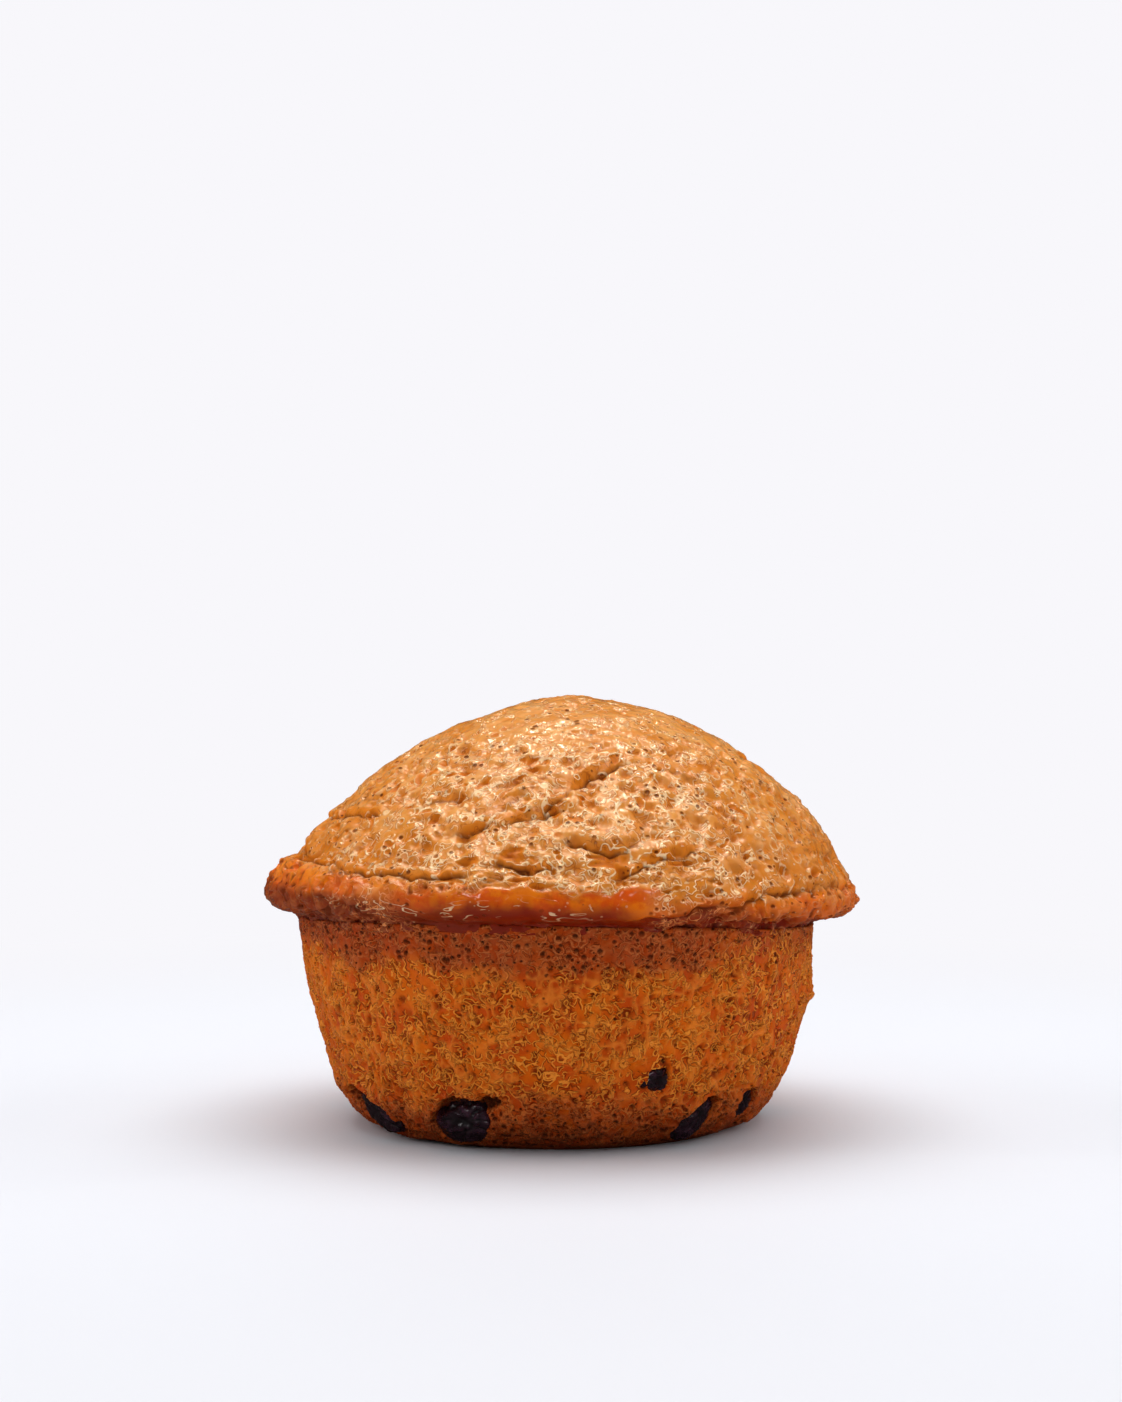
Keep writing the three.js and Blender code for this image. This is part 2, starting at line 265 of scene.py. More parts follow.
@dataclass(frozen=True)
class Ridges:
    """Thin wandering ridges along the borders between lumps.

    Attributes:
        pitch: width of the lumps in millimetres.
        width: how wide a ridge is, as a share of the lumps' height.
        seed: which lattice of random values.
    """

    pitch: float
    width: float
    seed: int

    def at(self, points: np.ndarray) -> np.ndarray:
        """The ridges at each of n points: 1 on a ridge line, 0 away from it."""
        level = np.abs(lumps(points, self.pitch, self.seed))
        return np.clip(1.0 - level / self.width, 0.0, 1.0)


@dataclass(frozen=True)
class Pools:
    """Irregular sunken patches.

    Attributes:
        pitch: distance from one patch to the next in millimetres.
        level: how far the ground must dip to be a patch, from -1 to 1.
        seed: which patches.
        warp: how far their borders wander, as a share of the pitch.
        detail: height of the finer lumps in the ground.
        slope: how much the ground rises over one pitch.
    """

    pitch: float
    level: float
    seed: int
    warp: float = 0.3
    detail: float = 0.45
    slope: float = 1.7

    def away(self, points: np.ndarray) -> np.ndarray:
        """Roughly the distance from each point to the nearest patch's edge, below 0 inside it.

        Args:
            points: array of n by 3, in millimetres.

        Returns:
            Array of n values in millimetres.
        """
        wander = Lumps(self.warp * self.pitch, 0.8 * self.pitch, self.seed + 2)
        fine = Lumps(self.detail, 0.5 * self.pitch, self.seed + 1)
        ground = heights(wander.warp(points), Lumps(1.0, self.pitch, self.seed), fine)
        return (self.level - ground) * self.pitch / self.slope


@dataclass(frozen=True)
class Cells:
    """Random cells with walls between them.

    Attributes:
        pitch: width of a cell in millimetres.
        seed: which cells.
        scatter: how far a cell's middle strays, as a share of the pitch.
        wall: width of a wall, as a share of the pitch.
    """

    pitch: float
    seed: int
    scatter: float = 0.46
    wall: float = 0.45

    def walls(self, points: np.ndarray) -> np.ndarray:
        """How near each point is to a wall: 1 on the wall, 0 well inside a cell.

        Args:
            points: array of n by 3, in millimetres.

        Returns:
            Array of n values.
        """
        scaled = points / self.pitch
        home = np.floor(scaled)
        nearest = np.full(len(points), np.inf)
        second = np.full(len(points), np.inf)
        for corner in np.ndindex(3, 3, 3):
            cell = home + np.array(corner) - 1.0
            offset = [lattice_value(*cell.T, self.seed + axis) for axis in range(3)]
            middle = cell + 0.5 + self.scatter * np.stack(offset, axis=1)
            away = np.linalg.norm(scaled - middle, axis=1)
            second = np.minimum(second, np.maximum(nearest, away))
            nearest = np.minimum(nearest, away)
        return 1.0 - np.clip((second - nearest) / self.wall, 0.0, 1.0)


# ---- the form --------------------------------------------------------------------------------


@dataclass(frozen=True)
class Around:
    """A measure that changes smoothly round the muffin, from its values in four directions."""

    front: float
    right: float
    back: float
    left: float

    def at(self, azimuth: Number) -> Number:
        """The measure at an azimuth.

        Args:
            azimuth: radians from the front towards the right.

        Returns:
            The measure there.
        """
        mean = (self.front + self.right + self.back + self.left) / 4
        front_to_back = (self.front - self.back) / 2
        right_to_left = (self.right - self.left) / 2
        squareness = (self.front + self.back - self.right - self.left) / 4
        wave = front_to_back * np.cos(azimuth) + right_to_left * np.sin(azimuth)
        return mean + wave + squareness * np.cos(2 * azimuth)


class Stretch(Enum):
    """The stretches of the outline, from the middle of the base round to the crown."""

    BASE = 0
    FOOT = 1
    SIDE = 2
    UNDER_RIM = 3
    RIM_NOSE = 4
    RIM_TOP = 5
    CROWN = 6


BASE_MIDDLE, CROWN_TOP = 0.0, 6.9999


@dataclass(frozen=True)
class MuffinForm:
    """The smooth form of the muffin in millimetres, with the same outline as the solids.

    Pairs are a radius and a height: of the corner that rounds the base's edge, of the foot where
    the side starts, and of the shoulder where the crown starts. The side is pulled outwards at two
    radii and levels, and the rim's top flares and drops. The neck is the ring under the rim. The
    last four pairs pull the rim's arcs, out from the neck or in from the rim's widest ring.
    """

    height: float = 57.3
    base_radius: float = 24.2
    corner: Span = (27.6, 1.0)
    foot: Span = (29.6, 5.0)
    side_pulls: Span = (31.3, 34.2)
    side_levels: Span = (9.0, 20.0)
    shoulder: Span = (36.4, 36.2)
    inset: float = 0.9
    roundness: float = 1.88
    fullness: float = 0.84
    crown_shift: float = 1.15
    crown_lean: float = 2.25
    box_middle: Span = (0.509, 0.464)
    neck_radius: Around = Around(34.9, 34.7, 34.8, 35.0)
    neck_height: Around = Around(29.4, 26.7, 28.0, 27.9)
    rim_radius: Around = Around(38.1, 40.9, 39.2, 39.75)
    rim_height: Around = Around(32.2, 30.4, 31.2, 31.4)
    stump_bulge: Around = Around(0.0, 0.5, 0.2, 0.0)
    rim_flare: Around = Around(1.2, 0.85, 1.4, 2.5)
    rim_drop: Around = Around(-1.2, -1.8, -1.2, -0.8)
    neck_pull: Span = (0.35, 0.25)
    nose_start: Span = (1.3, 2.1)
    nose_pull: Span = (0.05, 1.35)
    top_pull: Span = (0.05, 1.3)

    def outline(self, azimuth: np.ndarray, along: np.ndarray) -> np.ndarray:
        """Radius, height and lean to the right at places of the outline.

        Args:
            azimuth: radians from the front towards the right, one for each place.
            along: the stretch's number plus the share of the way along it.

        Returns:
            Array of n by 3 in millimetres.
        """
        out = np.zeros((len(along), 3))
        stretch = np.clip(np.floor(along), 0, len(Stretch) - 1).astype(int)
        for kind in Stretch:
            chosen = stretch == kind.value
            if chosen.any():
                out[chosen] = self._stretch(kind, azimuth[chosen], along[chosen] - kind.value)
        return out

    def _stretch(self, kind: Stretch, azimuth: np.ndarray, t: np.ndarray) -> np.ndarray:
        """Radius, height and lean along one stretch.

        Args:
            kind: which stretch.
            azimuth: radians from the front towards the right, one for each place.
            t: share of the way along the stretch.

        Returns:
            Array of n by 3 in millimetres.
        """
        lean = np.zeros(len(t))
        neck_r, neck_z = self.neck_radius.at(azimuth), self.neck_height.at(azimuth)
        rim_r, rim_z = self.rim_radius.at(azimuth), self.rim_height.at(azimuth)
        nose_r, nose_z = rim_r - self.nose_start[0], rim_z - self.nose_start[1]
        shoulder_r = self.shoulder[0] + self.crown_shift * np.sin(azimuth)
        shoulder_z = self.shoulder[1]
        if kind is Stretch.BASE:
            radius, height = self.base_radius * t, lean
        elif kind is Stretch.FOOT:
            radius = arc2(self.base_radius, self.corner[0], self.foot[0], t)
            height = arc2(0.0, self.corner[1], self.foot[1], t)
        elif kind is Stretch.SIDE:
            bulge = self.stump_bulge.at(azimuth) * np.sin(np.pi * t)
            radius = arc3(self.foot[0], *self.side_pulls, neck_r, t) + bulge
            height = arc3(self.foot[1], *self.side_levels, neck_z, t)
        elif kind is Stretch.UNDER_RIM:
            radius = arc2(neck_r, neck_r + self.neck_pull[0], nose_r, t)
            height = arc2(neck_z, neck_z + self.neck_pull[1], nose_z, t)
        elif kind is Stretch.RIM_NOSE:
            radius = arc2(nose_r, rim_r + self.nose_pull[0], rim_r, t)
            height = arc2(nose_z, rim_z - self.nose_pull[1], rim_z, t)
        elif kind is Stretch.RIM_TOP:
            flare_r = shoulder_r + self.rim_flare.at(azimuth)
            flare_z = shoulder_z + self.rim_drop.at(azimuth)
            radius = arc3(rim_r, rim_r - self.top_pull[0], flare_r, shoulder_r, t)
            height = arc3(rim_z, rim_z + self.top_pull[1], flare_z, shoulder_z, t)
        else:
            inwards = np.cos(np.clip(t, 0, 1) * np.pi / 2) ** self.inset
            rise = (1 - inwards**self.roundness) ** self.fullness
            radius = shoulder_r * inwards
            height = lerp(shoulder_z, self.height, rise)
            lean = self.crown_lean * rise
        return np.stack([radius, height, lean], axis=1)

    def points(self, azimuth: np.ndarray, along: np.ndarray) -> np.ndarray:
        """Points of the smooth form in millimetres, before its box is centred."""
        r, z, lean = self.outline(azimuth, along).T
        return np.stack([lean + r * np.sin(azimuth), -r * np.cos(azimuth), z], axis=1)

    def meridian(self, first: float, last: float, count: int, azimuth: float = 0.8) -> np.ndarray:
        """Points of the smooth form along part of its outline, at one azimuth.

        Args:
            first: place of the outline where it starts.
            last: place where it ends.
            count: how many points.
            azimuth: radians from the front towards the right.

        Returns:
            Array of n by 3 in millimetres.
        """
        return self.points(np.full(count, azimuth), np.linspace(first, last, count))

    def side_at(self, azimuth: float, height: float) -> tuple[np.ndarray, np.ndarray]:
        """The point and the outward normal of the side or crown at an azimuth and a height.

        Args:
            azimuth: radians from the front towards the right.
            height: millimetres above the base.

        Returns:
            The point and the unit normal, each an array of 3.
        """
        side = self.meridian(Stretch.FOOT.value, Stretch.UNDER_RIM.value, 400, azimuth)
        top = self.meridian(Stretch.RIM_NOSE.value, 6.999, 900, azimuth)
        line = np.concatenate([side, top])
        place = int(np.argmin(np.abs(line[:, 2] - height)))
        before, after = max(place - 1, 0), min(place + 1, len(line) - 1)
        around = np.array([math.cos(azimuth), math.sin(azimuth), 0.0])
        normal = np.cross(around, line[after] - line[before])
        return line[place], normal / np.linalg.norm(normal)

    def centred(self, points: np.ndarray) -> np.ndarray:
        """Points of the form moved to where the solids have them."""
        return points - np.array([*self.box_middle, 0.0])


FORM = MuffinForm()


# ---- relief ----------------------------------------------------------------------------------

Places = list[tuple[float, float]]


@dataclass
class Run:
    """A run of places, as azimuth in degrees and height in millimetres, on the smooth form.

    Attributes:
        places: the places that the run passes through.
        reach: how far to the sides its effect goes, in millimetres.
    """

    places: Places
    reach: float

    def __post_init__(self) -> None:
        """Works out the legs between the places."""
        spots = [FORM.side_at(math.radians(azimuth), height) for azimuth, height in self.places]
        self.legs = [
            (start, end - start, normal_a + normal_b)
            for (start, normal_a), (end, normal_b) in zip(spots, spots[1:])
        ]

    def offset(self, points: np.ndarray) -> tuple[np.ndarray, np.ndarray]:
        """How each point lies to the run.

        Args:
            points: array of n by 3, in millimetres.

        Returns:
            The distance from the run, and how far of that is upwards across it.
        """
        distance = np.full(len(points), np.inf)
        above = np.zeros(len(points))
        for start, leg, normal in self.legs:
            away = points - start
            share = np.clip(away @ leg / (leg @ leg), 0.0, 1.0)
            away = away - share[:, None] * leg
            length = np.linalg.norm(away, axis=1)
            up = np.cross(normal, leg)
            up = up / np.linalg.norm(up) * np.sign(up[2])
            nearer = length < distance
            distance = np.where(nearer, length, distance)
            above = np.where(nearer, away @ up, above)
        return distance, above

    def near(self, points: np.ndarray, reaches: float = 3.0) -> np.ndarray:
        """Which points may lie near enough to the run to be worked by it.

        Args:
            points: array of n by 3, in millimetres.
            reaches: how many reaches away that is.

        Returns:
            The numbers of those points.
        """
        middle = np.mean([start + leg / 2 for start, leg, _ in self.legs], axis=0)
        ends = [start + part * leg for start, leg, _ in self.legs for part in (0, 1)]
        half = max(np.linalg.norm(end - middle) for end in ends)
        away = np.linalg.norm(points - middle, axis=1)
        return np.flatnonzero(away < half + reaches * self.reach)


@dataclass
class Step(Run):
    """A step in the crust: the part above the run stands over the part below.

    Attributes:
        rise: how far the upper side stands out.
        drop: how far the lower side lies in.
        crease: depth of the crease at the foot of the face, which is also painted dark as shade.
        face: height of the steep face between the two.
    """

    rise: float = 0.3
    drop: float = 0.5
    crease: float = 0.3
    face: float = 1.3


@dataclass
class Furrow(Run):
    """A shallow furrow (depth above 0) or a crust ridge (depth below 0) along the run."""

    depth: float = 0.5


# Each step has its places and then its reach, rise, drop, crease and, on the rim, its face.
CROWN_STEPS = [
    Step([(12.7, 48.3), (6.5, 47.4), (1.8, 45.8), (-3.2, 44.0)], 2.6, 0.5, 0.9, 0.6),
    Step([(-3.5, 43.1), (-8.5, 42.4), (-15, 41.6), (-19.5, 40.8)], 2.4, 0.5, 0.9, 0.6),
    Step([(4.2, 39.0), (10.2, 38.0), (14.2, 38.9)], 2.0, 0.4, 0.7, 0.45),
    Step([(12.5, 35.2), (20.8, 37.4), (27, 38.4)], 1.8, 0.3, 0.6, 0.3),
    Step([(-34.8, 44.0), (-27, 44.7)], 1.6, 0.3, 0.6, 0.3),
    Step([(-11, 36.6), (-7, 36.1), (-3.8, 36.4)], 1.4, 0.3, 0.5, 0.4),
]

LEFT_FOLD = [(-165, 33.6), (-120, 35), (-77, 36), (-58, 36), (-46, 35.3), (-29, 34.8)]
RIGHT_FOLD = [(12.2, 29.9), (27, 31), (41, 32.3), (49, 32.7), (80, 31.4), (120, 31.8), (150, 31)]

RIM_FOLDS = [
    Step([*LEFT_FOLD, (-14.8, 35.2)], 1.8, 0.25, 0.35, 0.4, 0.7),
    Step(RIGHT_FOLD, 1.8, 0.35, 0.6, 0.45, 0.9),
]

# Each furrow has its places and then its reach and depth.
STUMP_FURROWS = [
    Furrow([(-42, 25.3), (-46.2, 18.7), (-51.8, 11.8), (-54.8, 6.4)], 2.0, 0.45),
    Furrow([(76.5, 18.8), (66.8, 15.5), (60.8, 12.5), (56.2, 8.5)], 1.3, -0.5),
    Furrow([(73, 14.0), (67, 10.5), (63, 7.0)], 2.2, 0.7),
    Furrow([(-73.2, 6.2), (-59.2, 5.8), (-51, 5.9), (-43.5, 5.6)], 1.2, -0.45),
    Furrow([(82, 17.4), (82, 16.8)], 0.5, -0.7),
    Furrow([(140, 24.5), (146, 17.5), (143, 11.0)], 2.0, 0.45),
    Furrow([(212, 23.5), (205, 18.5)], 1.8, 0.5),
]


@dataclass(frozen=True)
class FarSteps:
    """Random steps for the far side of the crown, as gentle falling and rising runs.

    The span is the first and last azimuth in degrees, and the levels are heights in millimetres.
    Turns and falls are those of one leg, and wobble is how far each place strays from its run.
    """

    count: int = 9
    seed: int = 41
    span: Span = (75, 285)
    levels: Span = (37, 49)
    turns: Span = (6, 11)
    falls: Span = (-1.0, 1.0)
    wobble: float = 0.8
    rises: Span = (0.3, 0.45)
    drops: Span = (0.5, 0.8)
    reaches: Span = (1.6, 2.2)
    crease: float = 0.4
    shrink: Span = (58, 38)

    def build(self) -> list[Step]:
        """The steps, from one end of the span to the other."""
        draw = draws_from(self.seed)
        found = []
        for index in range(self.count):
            start = lerp(*self.span, (index + 0.6 * next(draw)) / self.count)
            height = lerp(*self.levels, next(draw))
            widened = (self.shrink[1] / (self.shrink[0] - height)) ** 0.5
            turn = lerp(*self.turns, next(draw)) * widened
            fall = lerp(*self.falls, next(draw))
            places = [
                (start + leg * turn, height + leg * fall + self.wobble * (next(draw) - 0.5))
                for leg in range(4)
            ]
            rise, drop = lerp(*self.rises, next(draw)), lerp(*self.drops, next(draw))
            found.append(Step(places, lerp(*self.reaches, next(draw)), rise, drop, self.crease))
        return found


ALL_STEPS = CROWN_STEPS + RIM_FOLDS + FarSteps().build()


@dataclass(frozen=True)
class Scales:
    """Small overlapping scales of baked crust.

    Attributes:
        height: how far a scale's lower edge stands out in millimetres.
        pitch: distance from one scale to the next.
        seed: which pattern.
        where: where the crust has them.
    """

    height: float
    pitch: float
    seed: int
    where: Mask

    def stray(self) -> tuple[Lumps, Lumps]:
        """How far their edges wander, in pitches."""
        coarse = Lumps(1.1, 1.9 * self.pitch, self.seed)
        return coarse, Lumps(0.4, 0.8 * self.pitch, self.seed + 1)


@dataclass(frozen=True)
class Dents:
    """Round dents in a crust.

    Attributes:
        pores: where they lie and how wide they are.
        depth: how deep they are in millimetres.
        fall: distances from a dent's edge at which the ground starts to fall and is deepest.
        darkening: how strongly the finish darkens them, as painted shade.
        shade_fall: distances from the edge at which the painted shade starts and is strongest.
    """

    pores: Pores
    depth: float
    fall: Span
    darkening: float
    shade_fall: Span


@dataclass
class Surface:
    """The worked state of a crust: how far each point stands out, and what its finish reads.

    Attributes:
        base: points of the smooth form in millimetres.
        azimuth: radians from the front towards the right.
        along: places on the outline.
        out: how far each point stands out along the normal.
        marks: the finish's numbers by name, from 0 to 1 at each point.
        swells: lumps of the whole crust, which the solids have too.
        stray: lumps that make the steps' faces wander.
        whole: where the steps are unbroken.
    """

    base: np.ndarray
    azimuth: np.ndarray
    along: np.ndarray
    out: np.ndarray = field(init=False)
    marks: dict[str, np.ndarray] = field(init=False, default_factory=dict)
    swells: tuple[Lumps, ...] = (Lumps(0.36, 8.5, 1), Lumps(0.22, 4.6, 2), Lumps(0.1, 2.7, 3))
    stray: tuple[Lumps, ...] = (Lumps(0.6, 2.2, 11), Lumps(0.35, 1.0, 12))
    whole: Mask = Mask(2.6, 13, -1.1, -0.1)

    def __post_init__(self) -> None:
        """Starts with the smooth form."""
        self.out = np.zeros(len(self.base))

    @property
    def height(self) -> np.ndarray:
        """Height of each point of the smooth form."""
        return self.base[:, 2]

    @property
    def turn(self) -> np.ndarray:
        """Degrees of each point from the front towards the right."""
        return np.degrees(self.azimuth)

    @property
    def facing(self) -> np.ndarray:
        """How far each point faces the front, from -1 to 1."""
        return np.cos(self.azimuth)

    @property
    def rightwards(self) -> np.ndarray:
        """How far each point faces right, from -1 to 1."""
        return np.sin(self.azimuth)

    def mark(self, name: str, share: np.ndarray) -> None:
        """Raises one of the finish's numbers to a share, where it is lower."""
        self.marks[name] = np.maximum(self.marks.get(name, 0.0), np.clip(share, 0.0, 1.0))

    def mark_some(self, name: str, chosen: np.ndarray, share: np.ndarray) -> None:
        """Raises one of the finish's numbers at some of the points.

        Args:
            name: which number.
            chosen: the numbers of those points.
            share: what it is raised to at each of them.
        """
        whole = np.zeros(len(self.base))
        whole[chosen] = share
        self.mark(name, whole)

    def work_main(self) -> None:
        """Works what the solids have too: lumps, steps, rim folds, furrows and ridges."""
        self.out += heights(self.base, *self.swells)
        for step in ALL_STEPS:
            self.work_step(step)
        for furrow in STUMP_FURROWS:
            chosen = furrow.near(self.base)
            distance = furrow.offset(self.base[chosen])[0]
            self.out[chosen] -= furrow.depth * bump(distance, 0.0, furrow.reach)

    def work_step(self, step: Step) -> None:
        """Works one step: a rounded face above the line, painted amber as shade, and a crease at
        its foot, painted dark as shade.

        Args:
            step: the step.
        """
        chosen = step.near(self.base)
        near = self.base[chosen]
        distance, above = step.offset(near)
        for layer in self.stray:
            above = above + layer.at(near)
        fade = bump(distance, 0.0, step.reach) * self.whole.at(near)
        share = ease(above, -0.05, step.face)
        line = bump(above, -0.02, 0.2) * fade
        stand = 0.5 * lerp(-step.drop, step.rise, share) * fade
        self.out[chosen] += stand - 0.8 * step.crease * line
        below_top = ease(above, 1.35 * step.face, 0.75 * step.face)
        # Painted shade: amber on the step's face, and a dark line in its crease.
        self.mark_some("recess", chosen, 0.9 * ease(above, -0.1, 0.15) * below_top * fade)
        self.mark_some("pore", chosen, 0.9 * line)

    def work_scales(self, arc: np.ndarray, share: np.ndarray, scales: Scales) -> None:
        """Works small overlapping scales: each swells downwards and ends in a short steep face.

        Args:
            arc: distance of each point from the top, along the surface.
            share: how strongly each point is worked.
            scales: the scales.
        """
        level = sum((layer.at(self.base) for layer in scales.stray()), arc / scales.pitch)
        part = level - np.floor(level)
        swell = ease(part, 0.0, 0.7) * ease(part, 0.99, 0.70)
        self.out += scales.height * share * (swell - 0.5)
        face = ease(part, 0.66, 0.78) * ease(part, 1.0, 0.97)
        # Painted shade: amber on each scale's face, and a dark line at its foot.
        self.mark("recess", 0.5 * share * face)
        self.mark("pore", 0.5 * share * bump(part, 0.985, 0.035))

    def work_dents(self, dents: Dents, smooth: np.ndarray, share: Number = 1.0) -> None:
        """Sinks round dents into the crust, and paints shade into them.

        Args:
            dents: the dents.
            smooth: how many millimetres smaller they are at each point, where it is smoother.
            share: how strongly their painted shade shows at each point.
        """
        away = dents.pores.away(self.base) + smooth
        self.out -= dents.depth * ease(away, *dents.fall)
        self.mark("recess", dents.darkening * ease(away, *dents.shade_fall) * share)

    def work_hollows(self, away: np.ndarray, depth: float, rim: float, reach: float) -> None:
        """Sinks hollows with a raised edge into the crust, and tells the finish where they lie.

        Args:
            away: distance of each point from the nearest hollow's edge, below 0 inside it.
            depth: how deep a wide hollow is.
            rim: how high its edge stands.
            reach: how far in from its edge a hollow falls.
        """
        self.out += rim * bump(away, 0.16, 0.14) - depth * ease(away, 0.05, -reach)
        # The finish paints shade inside the hollows and a highlight on their edges from this
        # number.
        self.mark("hollow", 0.5 - 0.5 * away)


# ---- finishes --------------------------------------------------------------------------------

Colour = Triple
Socket = bpy.types.NodeSocket
Feed = Socket | float | Colour | None


def linear(red: int, green: int, blue: int) -> Colour:
    """A screen colour of 0 to 255 as the linear light that the shaders take."""
    shares = (np.array([red, green, blue]) / 255.0).tolist()
    return tuple(s / 12.92 if s <= 0.04045 else ((s + 0.055) / 1.055) ** 2.4 for s in shares)


@dataclass(frozen=True)
class Patches:
    """Soft random patches in a finish.

    Attributes:
        pitch: size of the patches in millimetres.
        starts: level of the noise, from 0 to 1, at which a patch starts.
        full: level at which it has its whole strength.
        detail: how many finer sizes the noise holds.
        rough: how strong those are.
        least: strength outside the patches.
        most: strength inside them.
    """

    pitch: float
    starts: float
    full: float
    detail: float = 1.0
    rough: float = 0.5
    least: float = 0.0
    most: float = 1.0


@dataclass(frozen=True)
class Strokes:
    """Thin wandering strokes of even width in a finish.

    Attributes:
        pitch: pitch in millimetres of the noise whose middle level they follow.
        width: half width of a stroke in millimetres.
        twist: how strongly they curl.
        step: how far aside the noise's slope is taken, in millimetres.
    """

    pitch: float
    width: float
    twist: float
    step: float = 0.04


@dataclass(frozen=True)
class Dots:
    """Scattered round pits of random size in a finish, with rings round them.

    Attributes:
        pitch: width of the cells that hold one pit each, in millimetres.
        size: radius of a middling pit, as a share of the pitch.
        share: share of the cells that hold a pit.
        ring: width of the rings, as a share of the radius.
    """

    pitch: float
    size: float
    share: float
    ring: float = 0.75


class Graph:
    """A material's node graph, with short calls for the nodes that the finishes share."""

    def __init__(self, name: str) -> None:
        """Starts a material that reads places in millimetres.

        Args:
            name: the material's name.
        """
        self.material = bpy.data.materials.new(name)
        self.material.use_nodes = True
        self.nodes = self.material.node_tree.nodes
        self.links = self.material.node_tree.links
        self.nodes.clear()
        self.output = self.nodes.new("ShaderNodeOutputMaterial")
        self.shader = self.nodes.new("ShaderNodeBsdfPrincipled")
        self.links.new(self.shader.outputs["BSDF"], self.output.inputs["Surface"])
        coordinates = self.nodes.new("ShaderNodeTexCoord")
        scaled = self.nodes.new("ShaderNodeVectorMath")
        scaled.operation = "SCALE"
        scaled.inputs["Scale"].default_value = 1.0 / MM
        self.links.new(coordinates.outputs["Object"], scaled.inputs[0])
        self.place = scaled.outputs[0]

    def feed(self, socket: Socket, value: Feed) -> None:
        """Links or sets an input socket.

        Args:
            socket: the input.
            value: the socket that feeds it, a plain value, or None to leave it as it is.
        """
        if isinstance(value, Socket):
            self.links.new(value, socket)
        elif value is not None:
            socket.default_value = value

    def attribute(self, name: str) -> Socket:
        """A number that each point of the piece carries.

        Args:
            name: the number's name.

        Returns:
            Its socket.
        """
        node = self.nodes.new("ShaderNodeAttribute")
        node.attribute_name = name
        return node.outputs["Fac"]

    def math(self, operation: str, a: Feed, b: Feed = None) -> Socket:
        """One sum on one or two numbers.

        Args:
            operation: which sum, by the node's own name for it.
            a: the first number.
            b: the second number, where the sum has one.

        Returns:
            The result's socket.
        """
        node = self.nodes.new("ShaderNodeMath")
        node.operation = operation
        self.feed(node.inputs[0], a)
        self.feed(node.inputs[1], b)
        return node.outputs[0]

    def times(self, *factors: Feed) -> Socket:
        """The product of two or more numbers."""
        return reduce(partial(self.math, "MULTIPLY"), factors)

    def plus(self, *parts: Feed) -> Socket:
        """Two or more numbers added up."""
        return reduce(partial(self.math, "ADD"), parts)

    def most(self, *values: Feed) -> Socket:
        """The largest of two or more numbers."""
        return reduce(partial(self.math, "MAXIMUM"), values)

    def vectors(self, operation: str, a: Feed, b: Feed = None) -> bpy.types.Node:
        """One sum on one or two vectors.

        Args:
            operation: which sum, by the node's own name for it.
            a: the first vector.
            b: the second vector, where the sum has one.

        Returns:
            The node, whose first output is a vector and whose "Value" is a number.
        """
        node = self.nodes.new("ShaderNodeVectorMath")
        node.operation = operation
        self.feed(node.inputs[0], a)
        self.feed(node.inputs[1], b)
        return node

    def stretch(self, factors: Triple) -> Socket:
        """The place with each axis scaled."""
        return self.vectors("MULTIPLY", self.place, factors).outputs[0]

    def noise(
        self,
        pitch: float,
        detail: float = 2.0,
        rough: float = 0.5,
        place: Socket | None = None,
        twist: float = 0.0,
    ) -> Socket:
        """Soft noise from 0 to 1.

        Args:
            pitch: size of its lumps in millimetres.
            detail: how many finer sizes it holds.
            rough: how strong those are.
            place: the place to read it at, where that isn't the point's own.
            twist: how strongly it curls.

        Returns:
            The noise's socket.
        """
        node = self.nodes.new("ShaderNodeTexNoise")
        self.links.new(place or self.place, node.inputs["Vector"])
        node.inputs["Scale"].default_value = 1.0 / pitch
        node.inputs["Detail"].default_value = detail
        node.inputs["Roughness"].default_value = rough
        node.inputs["Distortion"].default_value = twist
        return node.outputs["Fac"]

    def ramp(
        self, value: Feed, low: float, high: float, out_low: float = 0.0, out_high: float = 1.0
    ) -> Socket:
        """Maps a number smoothly from one range to another.

        Args:
            value: the number.
            low: where its range starts; it may be above high.
            high: where its range ends.
            out_low: what low becomes.
            out_high: what high becomes.

        Returns:
            The mapped number's socket.
        """
        node = self.nodes.new("ShaderNodeMapRange")
        node.interpolation_type = "SMOOTHSTEP"
        self.feed(node.inputs["Value"], value)
        node.inputs["From Min"].default_value = low
        node.inputs["From Max"].default_value = high
        node.inputs["To Min"].default_value = out_low
        node.inputs["To Max"].default_value = out_high
        return node.outputs["Result"]

    def patches(self, look: Patches, place: Socket | None = None) -> Socket:
        """The strength of soft random patches, read at a place."""
        noise = self.noise(look.pitch, look.detail, look.rough, place)
        return self.ramp(noise, look.starts, look.full, look.least, look.most)

